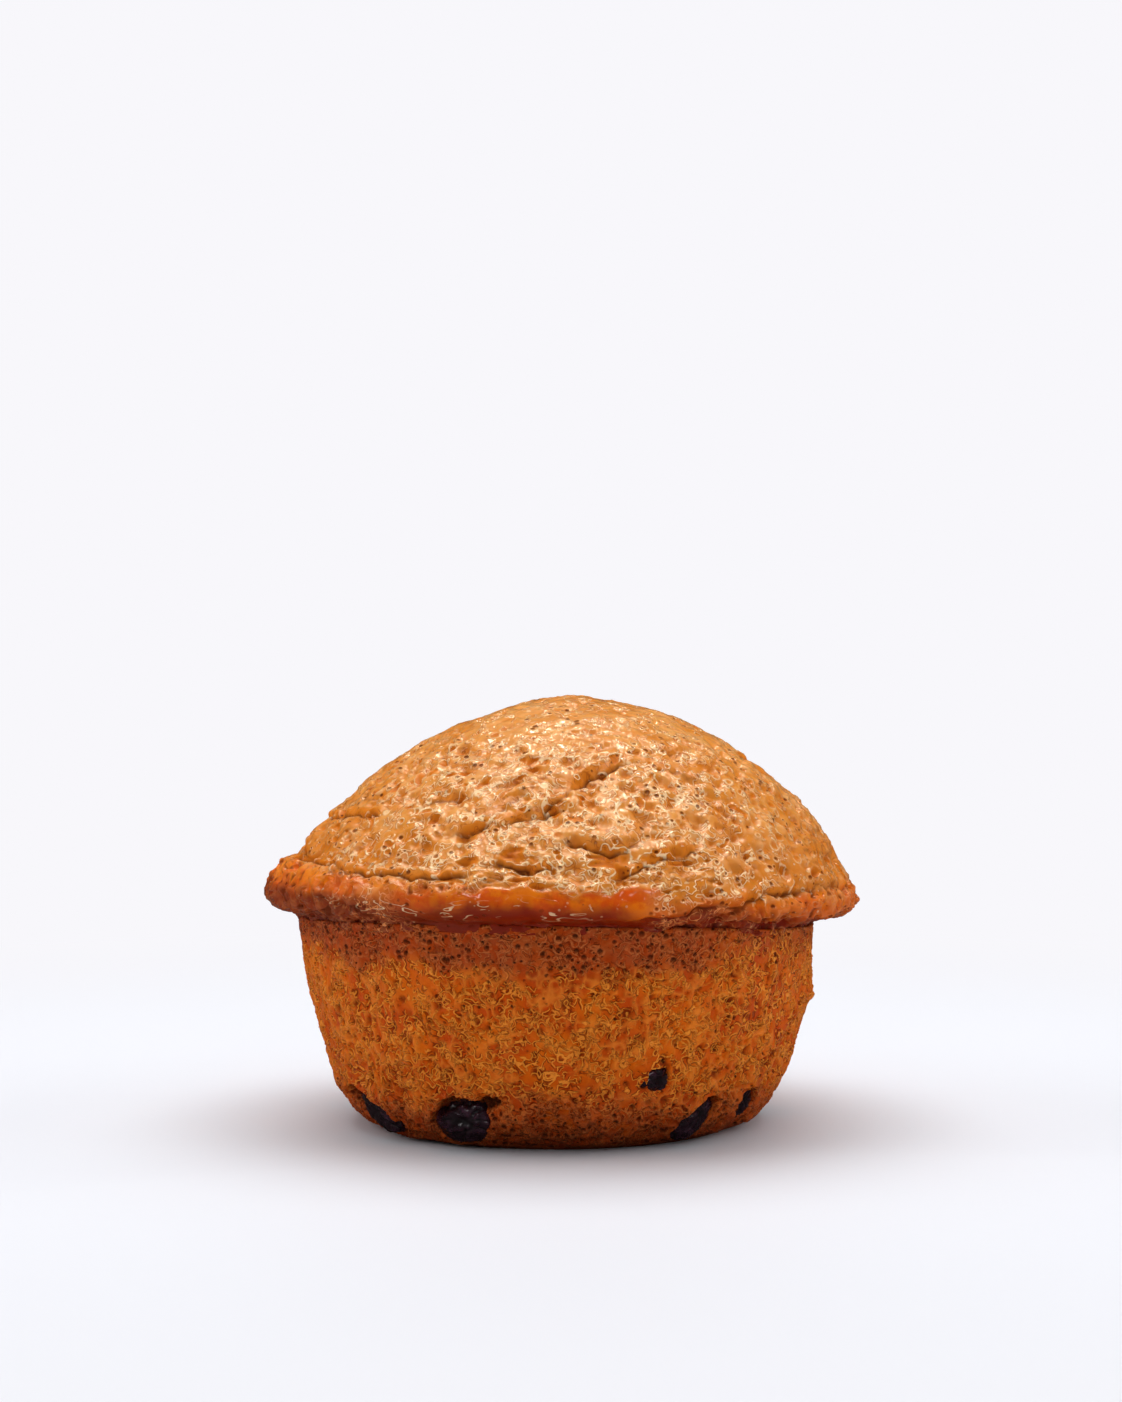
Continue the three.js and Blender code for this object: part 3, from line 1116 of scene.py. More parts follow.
    def strokes(self, look: Strokes, place: Socket | None = None) -> tuple[Socket, Socket]:
        """Thin wandering strokes of even width, and a furrow along one side of each, which the
        finishes paint dark as its shadow.

        The noise's distance from its middle level, over its slope, is the distance from the
        stroke in millimetres.

        Args:
            look: their size and shape.
            place: the place to read the noise at, where that isn't the point's own.

        Returns:
            Two sockets from 0 to 1: the strokes and the furrows.
        """
        place = place or self.place
        level = self.noise(look.pitch, 0.0, 0.5, place, look.twist)
        slope = self.nodes.new("ShaderNodeCombineXYZ")
        for axis in range(3):
            aside = tuple(look.step if axis == other else 0.0 for other in range(3))
            moved = self.vectors("ADD", place, aside).outputs[0]
            risen = self.noise(look.pitch, 0.0, 0.5, moved, look.twist)
            change = self.math("DIVIDE", self.math("SUBTRACT", risen, level), look.step)
            self.links.new(change, slope.inputs[axis])
        steep = self.vectors("LENGTH", slope.outputs[0]).outputs["Value"]
        least_slope = 0.05 / look.pitch
        away = self.math("SUBTRACT", level, 0.5)
        away = self.math("DIVIDE", away, self.plus(steep, least_slope))
        width = look.width
        stroke = self.ramp(self.math("ABSOLUTE", away), width, 0.5 * width)
        starts = self.ramp(away, width, 1.6 * width)
        return stroke, self.times(starts, self.ramp(away, 3.6 * width, 2.0 * width))

    def dots(self, look: Dots) -> tuple[Socket, Socket]:
        """Scattered round pits, painted darker at their upper side as shade, and rings round them
        that are painted brighter below as a highlight.

        Args:
            look: their size and number.

        Returns:
            Two sockets from 0 to 1: the pits and their rings.
        """
        node = self.nodes.new("ShaderNodeTexVoronoi")
        self.links.new(self.place, node.inputs["Vector"])
        node.inputs["Scale"].default_value = 1.0 / look.pitch
        draws = self.nodes.new("ShaderNodeSeparateColor")
        self.links.new(node.outputs["Color"], draws.inputs[0])
        radius = self.ramp(draws.outputs[0], 0.0, 1.0, 0.5 * look.size, 1.8 * look.size)
        held = self.math("LESS_THAN", draws.outputs[1], look.share)
        away = self.math("DIVIDE", node.outputs["Distance"], radius)
        pit = self.times(self.ramp(away, 1.15, 0.6), held)
        starts = self.ramp(away, 1.0, 1.0 + 0.4 * look.ring)
        ends = self.ramp(away, 1.0 + 1.4 * look.ring, 1.0 + 0.7 * look.ring)
        parts = self.nodes.new("ShaderNodeSeparateXYZ")
        offset = self.vectors("SUBTRACT", self.place, node.outputs["Position"])
        self.links.new(offset.outputs[0], parts.inputs[0])
        rise = self.math("DIVIDE", parts.outputs["Z"], self.times(radius, look.pitch))
        ring = self.times(starts, ends, self.ramp(rise, 0.5, -0.7, 0.2, 1.0), held)
        return self.times(pit, self.ramp(rise, -0.9, 0.3, 0.45, 1.0)), ring

    def mix(self, share: Feed, first: Feed, second: Feed) -> Socket:
        """Mixes two colours.

        Args:
            share: share of the second colour, from 0 to 1.
            first: the first colour.
            second: the second colour.

        Returns:
            The mixed colour's socket.
        """
        node = self.nodes.new("ShaderNodeMix")
        node.data_type = "RGBA"
        self.feed(node.inputs["Factor"], share)
        for socket, value in ((node.inputs[6], first), (node.inputs[7], second)):
            self.feed(socket, (*value, 1.0) if isinstance(value, tuple) else value)
        return node.outputs[2]

    def relief(self, height: Socket, depth: float) -> Socket:
        """A bump from a height of 0 to 1, with its depth in millimetres.

        Args:
            height: the height's socket.
            depth: the depth in millimetres.

        Returns:
            The normal's socket.
        """
        node = self.nodes.new("ShaderNodeBump")
        node.inputs["Distance"].default_value = depth * MM
        self.links.new(height, node.inputs["Height"])
        return node.outputs["Normal"]

    def finish(
        self, colour: Socket, roughness: Feed, normal: Socket, **plain: float | tuple
    ) -> bpy.types.Material:
        """Feeds the shader and gives back the material.

        Args:
            colour: base colour socket.
            roughness: roughness socket or number.
            normal: normal socket.
            **plain: other inputs by name, with underscores for spaces, as plain values.

        Returns:
            The material.
        """
        self.feed(self.shader.inputs["Base Color"], colour)
        self.feed(self.shader.inputs["Roughness"], roughness)
        self.feed(self.shader.inputs["Normal"], normal)
        for name, value in plain.items():
            self.shader.inputs[name.replace("_", " ")].default_value = value
        return self.material


@dataclass(frozen=True)
class CrownFinish:
    """The glossy, pored skin of the crown and rim.

    Its colours are pale and tan skin, amber and deep brown in what is sunk, partly painted shade,
    the pits, painted dark as shade, the glint of fine ridges and their sheen where the skin is
    browned, both painted highlights, the painted sparks of glossy droplets, and the orange, russet
    and burnt of the fried roll. The other fields say where its patterns lie.
    """

    pale: Colour = linear(233, 160, 80)
    tan: Colour = linear(222, 140, 50)
    # Amber is the crust's own colour, and also painted shade in what is sunk; deep and pit are
    # painted shade.
    amber: Colour = linear(208, 112, 12)
    deep: Colour = linear(156, 64, 5)
    pit: Colour = linear(96, 34, 3)
    # Painted highlights: glint on fine ridges, rings and edges, sheen where the skin is browned,
    # spark on droplets and thin glossy lines.
    glint: Colour = linear(255, 216, 164)
    sheen: Colour = linear(246, 150, 84)
    spark: Colour = linear(255, 228, 190)
    orange: Colour = linear(238, 128, 6)
    russet: Colour = linear(218, 82, 3)
    burnt: Colour = linear(126, 27, 2)
    plum: Colour = linear(120, 46, 20)
    skin_patches: Patches = Patches(6.0, 0.35, 0.65, detail=3.0)
    amber_patches: Patches = Patches(1.4, 0.42, 0.7, detail=3.0, rough=0.6)
    burnt_patches: Patches = Patches(2.4, 0.5, 0.72, detail=3.0, rough=0.6, most=0.45)
    edge_patches: Patches = Patches(1.6, 0.42, 0.56)
    wet_glint_patches: Patches = Patches(2.3, 0.5, 0.56)
    gloss: Patches = Patches(2.2, 0.3, 0.7, detail=2.0, least=0.3, most=0.45)
    squiggles: Strokes = Strokes(1.1, 0.07, 0.8)
    wet_glint_lines: Strokes = Strokes(0.8, 0.04, 0.5)
    wet_glint_stretch: Triple = (0.3, 0.3, 1.0)
    pits: Dots = Dots(1.1, 0.19, 0.7)
    pit_crowds: Patches = Patches(3.6, 0.40, 0.55)
    pools: Dots = Dots(1.7, 0.2, 0.85, ring=0.5)
    pool_crowds: Patches = Patches(4.7, 0.40, 0.55)
    bead_glints: Dots = Dots(1.0, 0.11, 0.5)
    bump_depth: float = 0.13

    def material(self) -> bpy.types.Material:
        """Builds the node material."""
        g = Graph("crown_crust")
        browning, pore, recess = g.attribute("browning"), g.attribute("pore"), g.attribute("recess")
        hollow, glaze, lace = g.attribute("hollow"), g.attribute("glaze"), g.attribute("lace")
        bare = g.ramp(glaze, 0.9, 0.3)
        # Pits painted darker at their upper side as shade, and rings painted lighter below as a
        # highlight; the pools' rims likewise.
        dot, ring = self.crowded(g, self.pits, self.pit_crowds)
        pool, rim = self.crowded(g, self.pools, self.pool_crowds)
        inside, pool = g.ramp(hollow, 0.49, 0.6), g.times(pool, bare)
        sunk = g.most(recess, inside, pool)
        dry = g.times(bare, g.ramp(g.most(pore, recess, inside), 0.6, 0.15))
        # Squiggles, and a furrow on one side of each that is painted dark as its shadow.
        stroke, furrow = g.strokes(self.squiggles)
        here = g.ramp(g.plus(g.noise(2.3, 1.0), g.times(lace, 0.16)), 0.58, 0.64)
        # The raised edges of hollows, painted light as a highlight.
        edge = g.times(g.ramp(hollow, 0.415, 0.45), g.ramp(hollow, 0.51, 0.48))
        edge = g.times(edge, g.patches(self.edge_patches), bare)
        # Painted highlights: squiggles, rings, hollow edges and pale ridges, brightest where the
        # crust is laced.
        lines = g.most(g.times(g.most(g.times(stroke, here), ring, rim), dry), edge)
        light = g.times(lines, g.plus(g.times(lace, 0.6), 0.35))
        light = g.most(light, g.times(g.attribute("pale"), dry))
        baked = g.most(g.times(glaze, 0.8), browning)
        # Tiny droplets and the roll's thin glossy lines, painted as bright sparks.
        bead_glint = g.times(g.dots(self.bead_glints)[0], g.ramp(sunk, 0.8, 0.3))
        bead_glint = g.most(g.times(bead_glint, g.ramp(baked, 0.3, 0.9, 0.85, 0.3)), self.wet_glint(g))
        matt = g.most(dot, pore)

        # Painted shade: brown in the deepest hollows.
        deeper = g.most(g.ramp(hollow, 0.58, 0.85), g.times(pool, 0.3))
        colour = self.skin(g, sunk, deeper, g.times(furrow, here))
        colour = self.browned(g, colour, glaze, browning)
        colour = g.mix(light, colour, g.mix(g.ramp(baked, 0.1, 0.6), self.glint, self.sheen))
        colour = g.mix(g.times(bead_glint, 0.85), colour, g.mix(baked, self.spark, self.glint))
        # Painted shade: dark in the pits and creases.
        colour = g.mix(g.most(g.times(dot, 0.9), pore), colour, self.pit)

        grain = g.times(g.noise(0.3, 2.0, 0.6), 0.1)
        height = g.plus(g.times(lines, 0.6), g.times(bead_glint, 0.8), grain)
        height = g.math("SUBTRACT", height, g.most(dot, g.times(sunk, 0.5)))
        normal = g.relief(height, self.bump_depth)
        g.feed(g.shader.inputs["Coat Normal"], normal)
        g.feed(g.shader.inputs["Coat Weight"], g.ramp(g.most(sunk, matt), 0.1, 0.9, 0.8, 0.0))
        return g.finish(
            colour,
            g.plus(g.patches(self.gloss), g.times(matt, 0.5)),
            normal,
            Subsurface_Weight=0.08,
            Subsurface_Scale=0.7 * MM,
            Specular_IOR_Level=0.08,
            Coat_Roughness=0.06,
        )

    def skin(self, g: Graph, sunk: Socket, deeper: Socket, furrow: Socket) -> Socket:
        """The skin away from the rim: tan and amber, more amber in what is sunk, partly as painted
        shade.

        Args:
            g: the material's graph.
            sunk: share of amber in hollows and recesses, partly painted shade.
            deeper: share of brown in the deepest hollows, painted shade.
            furrow: the furrows beside the fine strokes, painted dark as their shadow.

        Returns:
            The colour's socket.
        """
        colour = g.mix(g.patches(self.skin_patches), self.tan, self.pale)
        # More amber lower down and to the sides, partly painted shade.
        toasted_and_shaded = g.times(g.attribute("toast_and_side_shade"), 0.6)
        ambers = g.most(g.times(g.patches(self.amber_patches), 0.5), toasted_and_shaded)
        colour = g.mix(ambers, colour, self.amber)
        # Painted shade: amber in what is sunk, and deep brown in furrows and the deepest hollows.
        colour = g.mix(g.times(sunk, 0.95), colour, self.amber)
        colour = g.mix(g.times(furrow, 0.55), colour, self.deep)
        return g.mix(g.times(deeper, 0.65), colour, self.deep)

    def browned(self, g: Graph, colour: Socket, glaze: Socket, browning: Socket) -> Socket:
        """Lays the fried roll, the browned rim and its mauve underside over the skin.

        Args:
            g: the material's graph.
            colour: the skin's colour.
            glaze: where the smooth, fried roll is.
            browning: where the crust is browner.

        Returns:
            The colour's socket.
        """
        fried = g.plus(g.times(g.noise(5.0, 1.0), 0.6), g.times(g.noise(1.1, 3.0, 0.6), 0.4))
        fried = g.mix(g.ramp(fried, 0.43, 0.58), self.orange, self.russet)
        fried = g.mix(g.patches(self.burnt_patches), fried, self.burnt)
        colour = g.mix(glaze, colour, fried)
        brown = g.mix(g.ramp(browning, 0.3, 0.95), self.russet, self.burnt)
        return g.mix(g.attribute("mauve"), g.mix(browning, colour, brown), self.plum)

    def wet_glint(self, g: Graph) -> Socket:
        """Thin lines that run round the roll, painted as glossy highlights."""
        lines = g.strokes(self.wet_glint_lines, g.stretch(self.wet_glint_stretch))[0]
        return g.times(g.attribute("wet_glint"), lines, g.patches(self.wet_glint_patches))

    def crowded(self, g: Graph, look: Dots, crowds: Patches) -> tuple[Socket, Socket]:
        """Pits and rings only in crowds a few millimetres wide."""
        crowd = g.patches(crowds)
        return tuple(g.times(shape, crowd) for shape in g.dots(look))


@dataclass(frozen=True)
class StumpFinish:
    """The porous, orange-brown crumb of the stump's side and base.

    Its colours are the gold and orange crumb, the open cells, painted dark as shade, the brown
    ring, the dark holes, painted shade, and the scorched foot, darker at the front as painted
    contact shade too, the plum under the rim, and the crumb's threads, partly a painted highlight
    and duller in the ring. The other fields say where its patterns lie.
    """

    gold: Colour = linear(216, 96, 1)
    orange: Colour = linear(196, 68, 0)
    # Cell and dark are painted shade in cells, pits and holes; dark is also the scorched foot.
    cell: Colour = linear(118, 34, 0)
    brown: Colour = linear(160, 50, 3)
    dark: Colour = linear(58, 12, 2)
    plum: Colour = linear(136, 60, 34)
    # Threads are lighter crumb, partly a painted highlight on their tops.
    thread: Colour = linear(246, 148, 50)
    dull_thread: Colour = linear(206, 112, 58)
    crumb_patches: Patches = Patches(4.5, 0.35, 0.65, detail=3.0, rough=0.55)
    wide_patches: Patches = Patches(2.1, 0.47, 0.53)
    thin_patches: Patches = Patches(1.7, 0.47, 0.53)
    gloss: Patches = Patches(1.8, 0.3, 0.7, detail=2.0, least=0.3, most=0.48)
    wide_threads: Strokes = Strokes(1.3, 0.11, 0.8)
    thin_threads: Strokes = Strokes(0.9, 0.075, 0.8)
    pits: Dots = Dots(0.8, 0.15, 0.7)
    holes: Dots = Dots(1.0, 0.24, 0.9)
    bump_depth: float = 0.15

    def material(self) -> bpy.types.Material:
        """Builds the node material."""
        g = Graph("stump_crumb")
        browning, pore = g.attribute("browning"), g.attribute("pore")
        threads, sides = self.threads(g)
        dot, ring = g.dots(self.pits)
        dot = g.times(dot, g.ramp(browning, 0.0, 0.6, 0.5, 1.0))
        ring_share = g.ramp(browning, 0.3, 0.7)
        hole, hole_rim = (g.times(shape, ring_share) for shape in g.dots(self.holes))

        colour = g.mix(g.patches(self.crumb_patches), self.orange, self.gold)
        # Painted shade in the open cells of the crumb.
        colour = g.mix(g.times(g.attribute("recess"), 0.85), colour, self.cell)
        mottle = g.noise(1.5, 2.0)
        colour = g.mix(g.times(browning, g.ramp(mottle, 0.35, 0.62, 0.5, 1.0)), colour, self.brown)
        mauve = g.times(g.attribute("mauve"), g.ramp(mottle, 0.6, 0.4))
        colour = g.mix(mauve, colour, self.plum)
        # Painted shadow along one side of each thread, in the cells' colour.
        colour = g.mix(g.times(sides, 0.8), colour, self.cell)
        # Threads and pale strands are lighter, partly a painted highlight on the crumb's ridges.
        light = g.most(g.times(threads, 0.85), g.times(g.attribute("pale"), 0.5))
        light = g.times(light, g.ramp(browning, 0.2, 0.9, 1.0, 0.6))
        thread = g.mix(g.ramp(browning, 0.3, 0.8), self.thread, self.dull_thread)
        colour = g.mix(light, colour, thread)
        # The holes' rims are painted lighter below, as a highlight.
        colour = g.mix(g.times(hole_rim, 0.5), colour, self.dull_thread)
        inside = g.ramp(g.attribute("hollow"), 0.49, 0.56)
        # Painted shade: dark in pits, creases and holes, with the dark stains beside the berries.
        dark = g.most(dot, pore, g.times(inside, 0.8), g.times(hole, 0.9))
        colour = g.mix(dark, colour, self.dark)
        # The scorched foot, darker at the front, partly painted contact shade.
        colour = g.mix(g.times(g.attribute("scorch_and_contact_shade"), 0.8), colour, self.dark)

        grain = g.times(g.noise(0.28, 2.0, 0.6), 0.2)
        height = g.plus(threads, grain, g.times(g.most(ring, hole_rim), 0.4))
        height = g.math("SUBTRACT", height, g.most(g.times(sides, 0.5), dot, hole))
        return g.finish(
            colour,
            g.patches(self.gloss),
            g.relief(height, self.bump_depth),
            Subsurface_Weight=0.06,
            Subsurface_Scale=0.7 * MM,
            Specular_IOR_Level=0.25,
            Specular_Tint=(1.0, 0.6, 0.25, 1.0),
        )

    def threads(self, g: Graph) -> tuple[Socket, Socket]:
        """Wide and thin crumb threads in patches, and the furrows beside them, painted dark as
        their shadow.

        Args:
            g: the material's graph.

        Returns:
            Two sockets from 0 to 1: the threads and the furrows.
        """
        mirrored = g.stretch((1.0, -1.0, 1.0))
        here, away = g.patches(self.wide_patches), g.patches(self.thin_patches, mirrored)
        wide, thin = g.strokes(self.wide_threads), g.strokes(self.thin_threads)
        return tuple(g.most(g.times(a, here), g.times(b, away)) for a, b in zip(wide, thin))


@dataclass(frozen=True)
class BerryFinish:
    """Baked berry skin: dark purple, half glossy, with duller mauve bloom on its wrinkles and
    painted shade in its folds.
    """

    skin: Colour = linear(34, 13, 23)
    bloom: Colour = linear(72, 42, 58)
    fold_shade: Colour = linear(16, 5, 8)
    bloom_patches: Patches = Patches(1.6, 0.45, 0.7, detail=3.0)
    gloss: Patches = Patches(1.1, 0.35, 0.7, detail=2.0, least=0.16, most=0.34)
    bump_depth: float = 0.08

    def material(self) -> bpy.types.Material:
        """Builds the node material."""
        g = Graph("berry_skin")
        fold = g.attribute("fold")
        colour = g.mix(g.times(g.patches(self.bloom_patches), 0.6), self.skin, self.bloom)
        # Creases, folds and the hollow are painted dark as shade.
        return g.finish(
            g.mix(fold, colour, self.fold_shade),
            g.plus(g.patches(self.gloss), g.times(fold, 0.3)),
            g.relief(g.noise(0.5, 3.0, 0.6), self.bump_depth),
            Specular_IOR_Level=0.4,
            Coat_Weight=0.5,
            Coat_Roughness=0.1,
        )


# ---- mesh helpers ----------------------------------------------------------------------------


def select_only(piece: bpy.types.Object) -> None:
    """Makes a piece the only one selected, and active.

    Args:
        piece: the piece.
    """
    bpy.ops.object.select_all(action="DESELECT")
    piece.select_set(True)
    bpy.context.view_layer.objects.active = piece


def read_values(items: bpy.types.bpy_prop_collection, name: str, width: int) -> np.ndarray:
    """Reads a number or a vector from each of a mesh's items.

    Args:
        items: the points, normals or attribute values.
        name: which of their properties.
        width: how many numbers each holds.

    Returns:
        Array of n by width.
    """
    values = np.empty(len(items) * width)
    items.foreach_get(name, values)
    return values.reshape(-1, width)


def read_points(mesh: bpy.types.Mesh) -> np.ndarray:
    """The mesh's points in millimetres, as n by 3."""
    return read_values(mesh.vertices, "co", 3) / MM


def write_points(mesh: bpy.types.Mesh, points: np.ndarray) -> None:
    """Moves the mesh's points, given in millimetres."""
    mesh.vertices.foreach_set("co", (points * MM).ravel())
    mesh.update()


def write_number(mesh: bpy.types.Mesh, name: str, values: np.ndarray) -> None:
    """Stores a number on each point of a mesh."""
    layer = mesh.attributes.get(name) or mesh.attributes.new(name, "FLOAT", "POINT")
    layer.data.foreach_set("value", values.astype(np.float32))


def spin_outline(name: str, along: np.ndarray, steps: int, cuts: int) -> bpy.types.Object:
    """Spins an outline of the muffin round its axis, as a closed skin, and divides it finely.

    Args:
        name: name of the new piece.
        along: places of the outline, from one point on the axis to another.
        steps: how many steps make the turn.
        cuts: how many cuts divide each step and each part of the outline.

    Returns:
        The piece; each point carries "along", its place on the outline.
    """
    last = len(along) - 1
    bpy.ops.mesh.primitive_circle_add(vertices=last + 1, radius=1.0)
    piece = bpy.context.object
    piece.name = piece.data.name = name
    mesh = piece.data
    flat = FORM.points(np.zeros(last + 1), along)
    flat[[0, last], :2] = 0.0
    write_points(mesh, flat)
    write_number(mesh, "along", along)
    select_only(piece)
    bpy.ops.object.mode_set(mode="EDIT")
    bpy.ops.mesh.select_mode(type="EDGE")
    bpy.ops.mesh.select_all(action="DESELECT")
    bpy.ops.object.mode_set(mode="OBJECT")
    for edge in mesh.edges:
        edge.select = set(edge.vertices) == {0, last}
    bpy.ops.object.mode_set(mode="EDIT")
    bpy.ops.mesh.delete(type="EDGE")
    bpy.ops.mesh.select_all(action="SELECT")
    bpy.ops.mesh.spin(steps=steps, angle=2 * math.pi, center=(0, 0, 0), axis=(0, 0, 1))
    bpy.ops.mesh.select_all(action="SELECT")
    bpy.ops.mesh.remove_doubles(threshold=1e-7)
    bpy.ops.mesh.normals_make_consistent(inside=False)
    bpy.ops.mesh.subdivide(number_cuts=cuts)
    bpy.ops.object.mode_set(mode="OBJECT")
    return piece


def thin_to(piece: bpy.types.Object, most: int) -> None:
    """Merges the flattest triangles of a piece until it has few enough.

    Args:
        piece: the piece.
        most: how many triangles may be left.
    """
    mesh = piece.data
    mesh.calc_loop_triangles()
    count = len(mesh.loop_triangles)
    if count <= most:
        return
    select_only(piece)
    thinner = piece.modifiers.new("thin", "DECIMATE")
    thinner.decimate_type = "COLLAPSE"
    thinner.ratio = most / count
    thinner.use_collapse_triangulate = True
    bpy.ops.object.modifier_apply(modifier=thinner.name)


def settle(piece: bpy.types.Object, material: bpy.types.Material, node: str) -> None:
    """Dresses a finished piece and fits it to the frame.

    Args:
        piece: the piece.
        material: its finish.
        node: the solid that it stands for.
    """
    piece.data.materials.clear()
    piece.data.materials.append(material)
    select_only(piece)
    bpy.ops.object.shade_smooth()
    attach(piece, "root")
    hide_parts(node)
    piece.data.calc_loop_triangles()
    log.info("%s: %d triangles", piece.name, len(piece.data.loop_triangles))


# ---- berries ---------------------------------------------------------------------------------


@dataclass(frozen=True)
class BerrySpot:
    """Where a berry shows.

    Attributes:
        node: the solid it replaces, whose box gives its place.
        azimuth: degrees from the front towards the right.
        tilt: degrees by which its right end is raised.
        half: half sizes along, across and inwards in millimetres.
        mouth: half sizes of the hole that it shows through.
        squareness: 2 for an oval hole, more for one with corners.
        stains: dark juicy dents beside it, each as its place along and across and its radius.
    """

    node: str
    azimuth: float
    tilt: float
    half: Triple
    mouth: Span
    squareness: float = 2.0
    stains: tuple[Triple, ...] = ()

    def middle(self) -> np.ndarray:
        """The berry's middle in millimetres, from its solid."""
        low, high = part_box(self.node)
        return np.array((low + high) / 2) / MM

    def axes(self) -> np.ndarray:
        """The berry's own directions.

        Returns:
            Array of 3 by 3, with along, inwards and across as its rows.
        """
        turn, tilt = math.radians(self.azimuth), math.radians(self.tilt)
        level = np.array([math.cos(turn), math.sin(turn), 0.0])
        inwards = np.array([-math.sin(turn), math.cos(turn), 0.0])
        up = np.array([0.0, 0.0, 1.0])
        along = math.cos(tilt) * level + math.sin(tilt) * up
        return np.stack([along, inwards, math.cos(tilt) * up - math.sin(tilt) * level])

    def local(self, points: np.ndarray) -> np.ndarray:
        """Points as along, inwards and across from the berry's middle."""
        return (points - self.middle()) @ self.axes().T

    def outside(self, points: np.ndarray) -> np.ndarray:
        """How far points lie from the middle of the hole: 1 on its edge."""
        place = np.abs(self.local(points)[:, [0, 2]] / np.array(self.mouth))
        return (place**self.squareness).sum(axis=1) ** (1.0 / self.squareness)


LARGE_STAINS = ((4.2, 1.7, 1.0), (5.4, 1.9, 0.6))
SMALL_STAINS = ((-1.9, -0.9, 0.35), (0.5, 2.2, 0.3))

BERRY_SPOTS = [
    BerrySpot("berry_1", -24, 8, (4.4, 3.2, 3.3), (3.9, 2.8), stains=LARGE_STAINS),
    BerrySpot("berry_2", -55, -20, (5.8, 2.5, 2.8), (5.5, 1.5)),
    BerrySpot("berry_3", 24, 0, (2.9, 2.7, 2.6), (1.25, 1.3), 4.0, SMALL_STAINS),
    BerrySpot("berry_4", 38, 42, (3.9, 2.2, 2.8), (3.4, 1.5)),
    BerrySpot("berry_5", 55, 15, (2.7, 2.6, 2.6), (2.0, 1.7)),
    BerrySpot("berry_6", 98, 0, (4.1, 3.2, 3.3), (3.3, 2.5)),
    BerrySpot("berry_7", 136, 25, (3.4, 3.0, 3.0), (2.4, 1.9)),
    BerrySpot("berry_8", 172, 0, (4.4, 3.3, 3.4), (3.6, 2.6)),
    BerrySpot("berry_9", 209, 0, (3.0, 2.8, 2.8), (2.0, 1.6)),
    BerrySpot("berry_10", 251, -10, (3.7, 3.2, 3.2), (2.9, 2.4)),
]


@dataclass
class Berry:
    """One baked berry: a squashed, wrinkled ball with a shrunken hollow.

    All but proud is measured on a ball of radius 1, before it is squashed.

    Attributes:
        spot: where it shows.
        fineness: how often the ball's faces are divided.
        proud: how far it is moved outwards, in millimetres.
        eye: middle of the shrunken hollow, as along, inwards and across.
        eye_reach: radius of the hollow.
        boxiness: 2 for a round ball, more for a boxier one.
        tightness: how much smaller than its solid it is.
    """

    spot: BerrySpot
    fineness: int = 5
    proud: float = 0.5
    eye: Triple = (0.12, -0.96, -0.1)
    eye_reach: float = 0.22
    boxiness: float = 2.5
    tightness: float = 0.97

    def build(self, material: bpy.types.Material) -> bpy.types.Object:
        """Models the berry in its place.

        Args:
            material: the shared berry skin.

        Returns:
            The piece.
        """
        levels = self.fineness
        bpy.ops.mesh.primitive_ico_sphere_add(subdivisions=levels, radius=1.0)
        piece = bpy.context.object
        piece.name = piece.data.name = self.spot.node.replace("berry", "baked_berry")
        ball = read_points(piece.data) * MM
        body, fold = self.wrinkle(ball)
        ball /= (np.abs(ball) ** self.boxiness).sum(axis=1)[:, None] ** (1.0 / self.boxiness)
        along, across, inwards = self.spot.half
        sized = ball * body[:, None] * np.array([along, inwards, across]) * self.tightness
        sized[:, 1] -= self.proud
        write_points(piece.data, sized @ self.spot.axes() + self.spot.middle())
        write_number(piece.data, "fold", np.clip(fold, 0.0, 1.0))
        settle(piece, material, self.spot.node)
        return piece

    def wrinkle(self, ball: np.ndarray) -> tuple[np.ndarray, np.ndarray]:
        """Creases, wrinkles, the hollow and the fan of folds round it.

        Args:
            ball: points of a ball of radius 1.

        Returns:
            How far each point lies from the middle, and how dark its fold is painted as shade.
        """
        seed = int(abs(self.spot.azimuth)) + 50
        warped = Lumps(0.25, 0.7, seed + 1).warp(ball)
        crease = np.clip((0.2 - np.abs(lumps(warped, 0.62, seed))) / 0.2, 0.0, 1.0) ** 1.5
        crease *= Mask(0.8, seed + 3, -0.5, 0.2).at(ball)
        from_eye = np.linalg.norm(ball - np.array(self.eye), axis=1)
        hollow = bump(from_eye, 0.0, self.eye_reach)
        wrinkle = Ridges(0.42, 0.6, seed + 5).at(warped)
        wrinkle = wrinkle + 0.6 * Ridges(0.24, 0.6, seed + 6).at(warped)
        turn = np.arctan2(ball[:, 2] - self.eye[2], ball[:, 0] - self.eye[0])
        turn = turn + Lumps(0.5, 0.5, seed + 7).at(ball)
        fan = ease(np.abs(np.sin(3.5 * turn)), 0.5, 0.0) * bump(from_eye, 0.5, 0.42)
        swell = Lumps(0.1, 0.7, seed + 2).at(ball)
        body = 0.96 + swell - 0.1 * crease - 0.16 * hollow + 0.045 * wrinkle - 0.1 * fan
        return body, np.maximum.reduce([0.9 * crease, hollow, 0.8 - wrinkle, fan])


# ---- crown and stump -------------------------------------------------------------------------


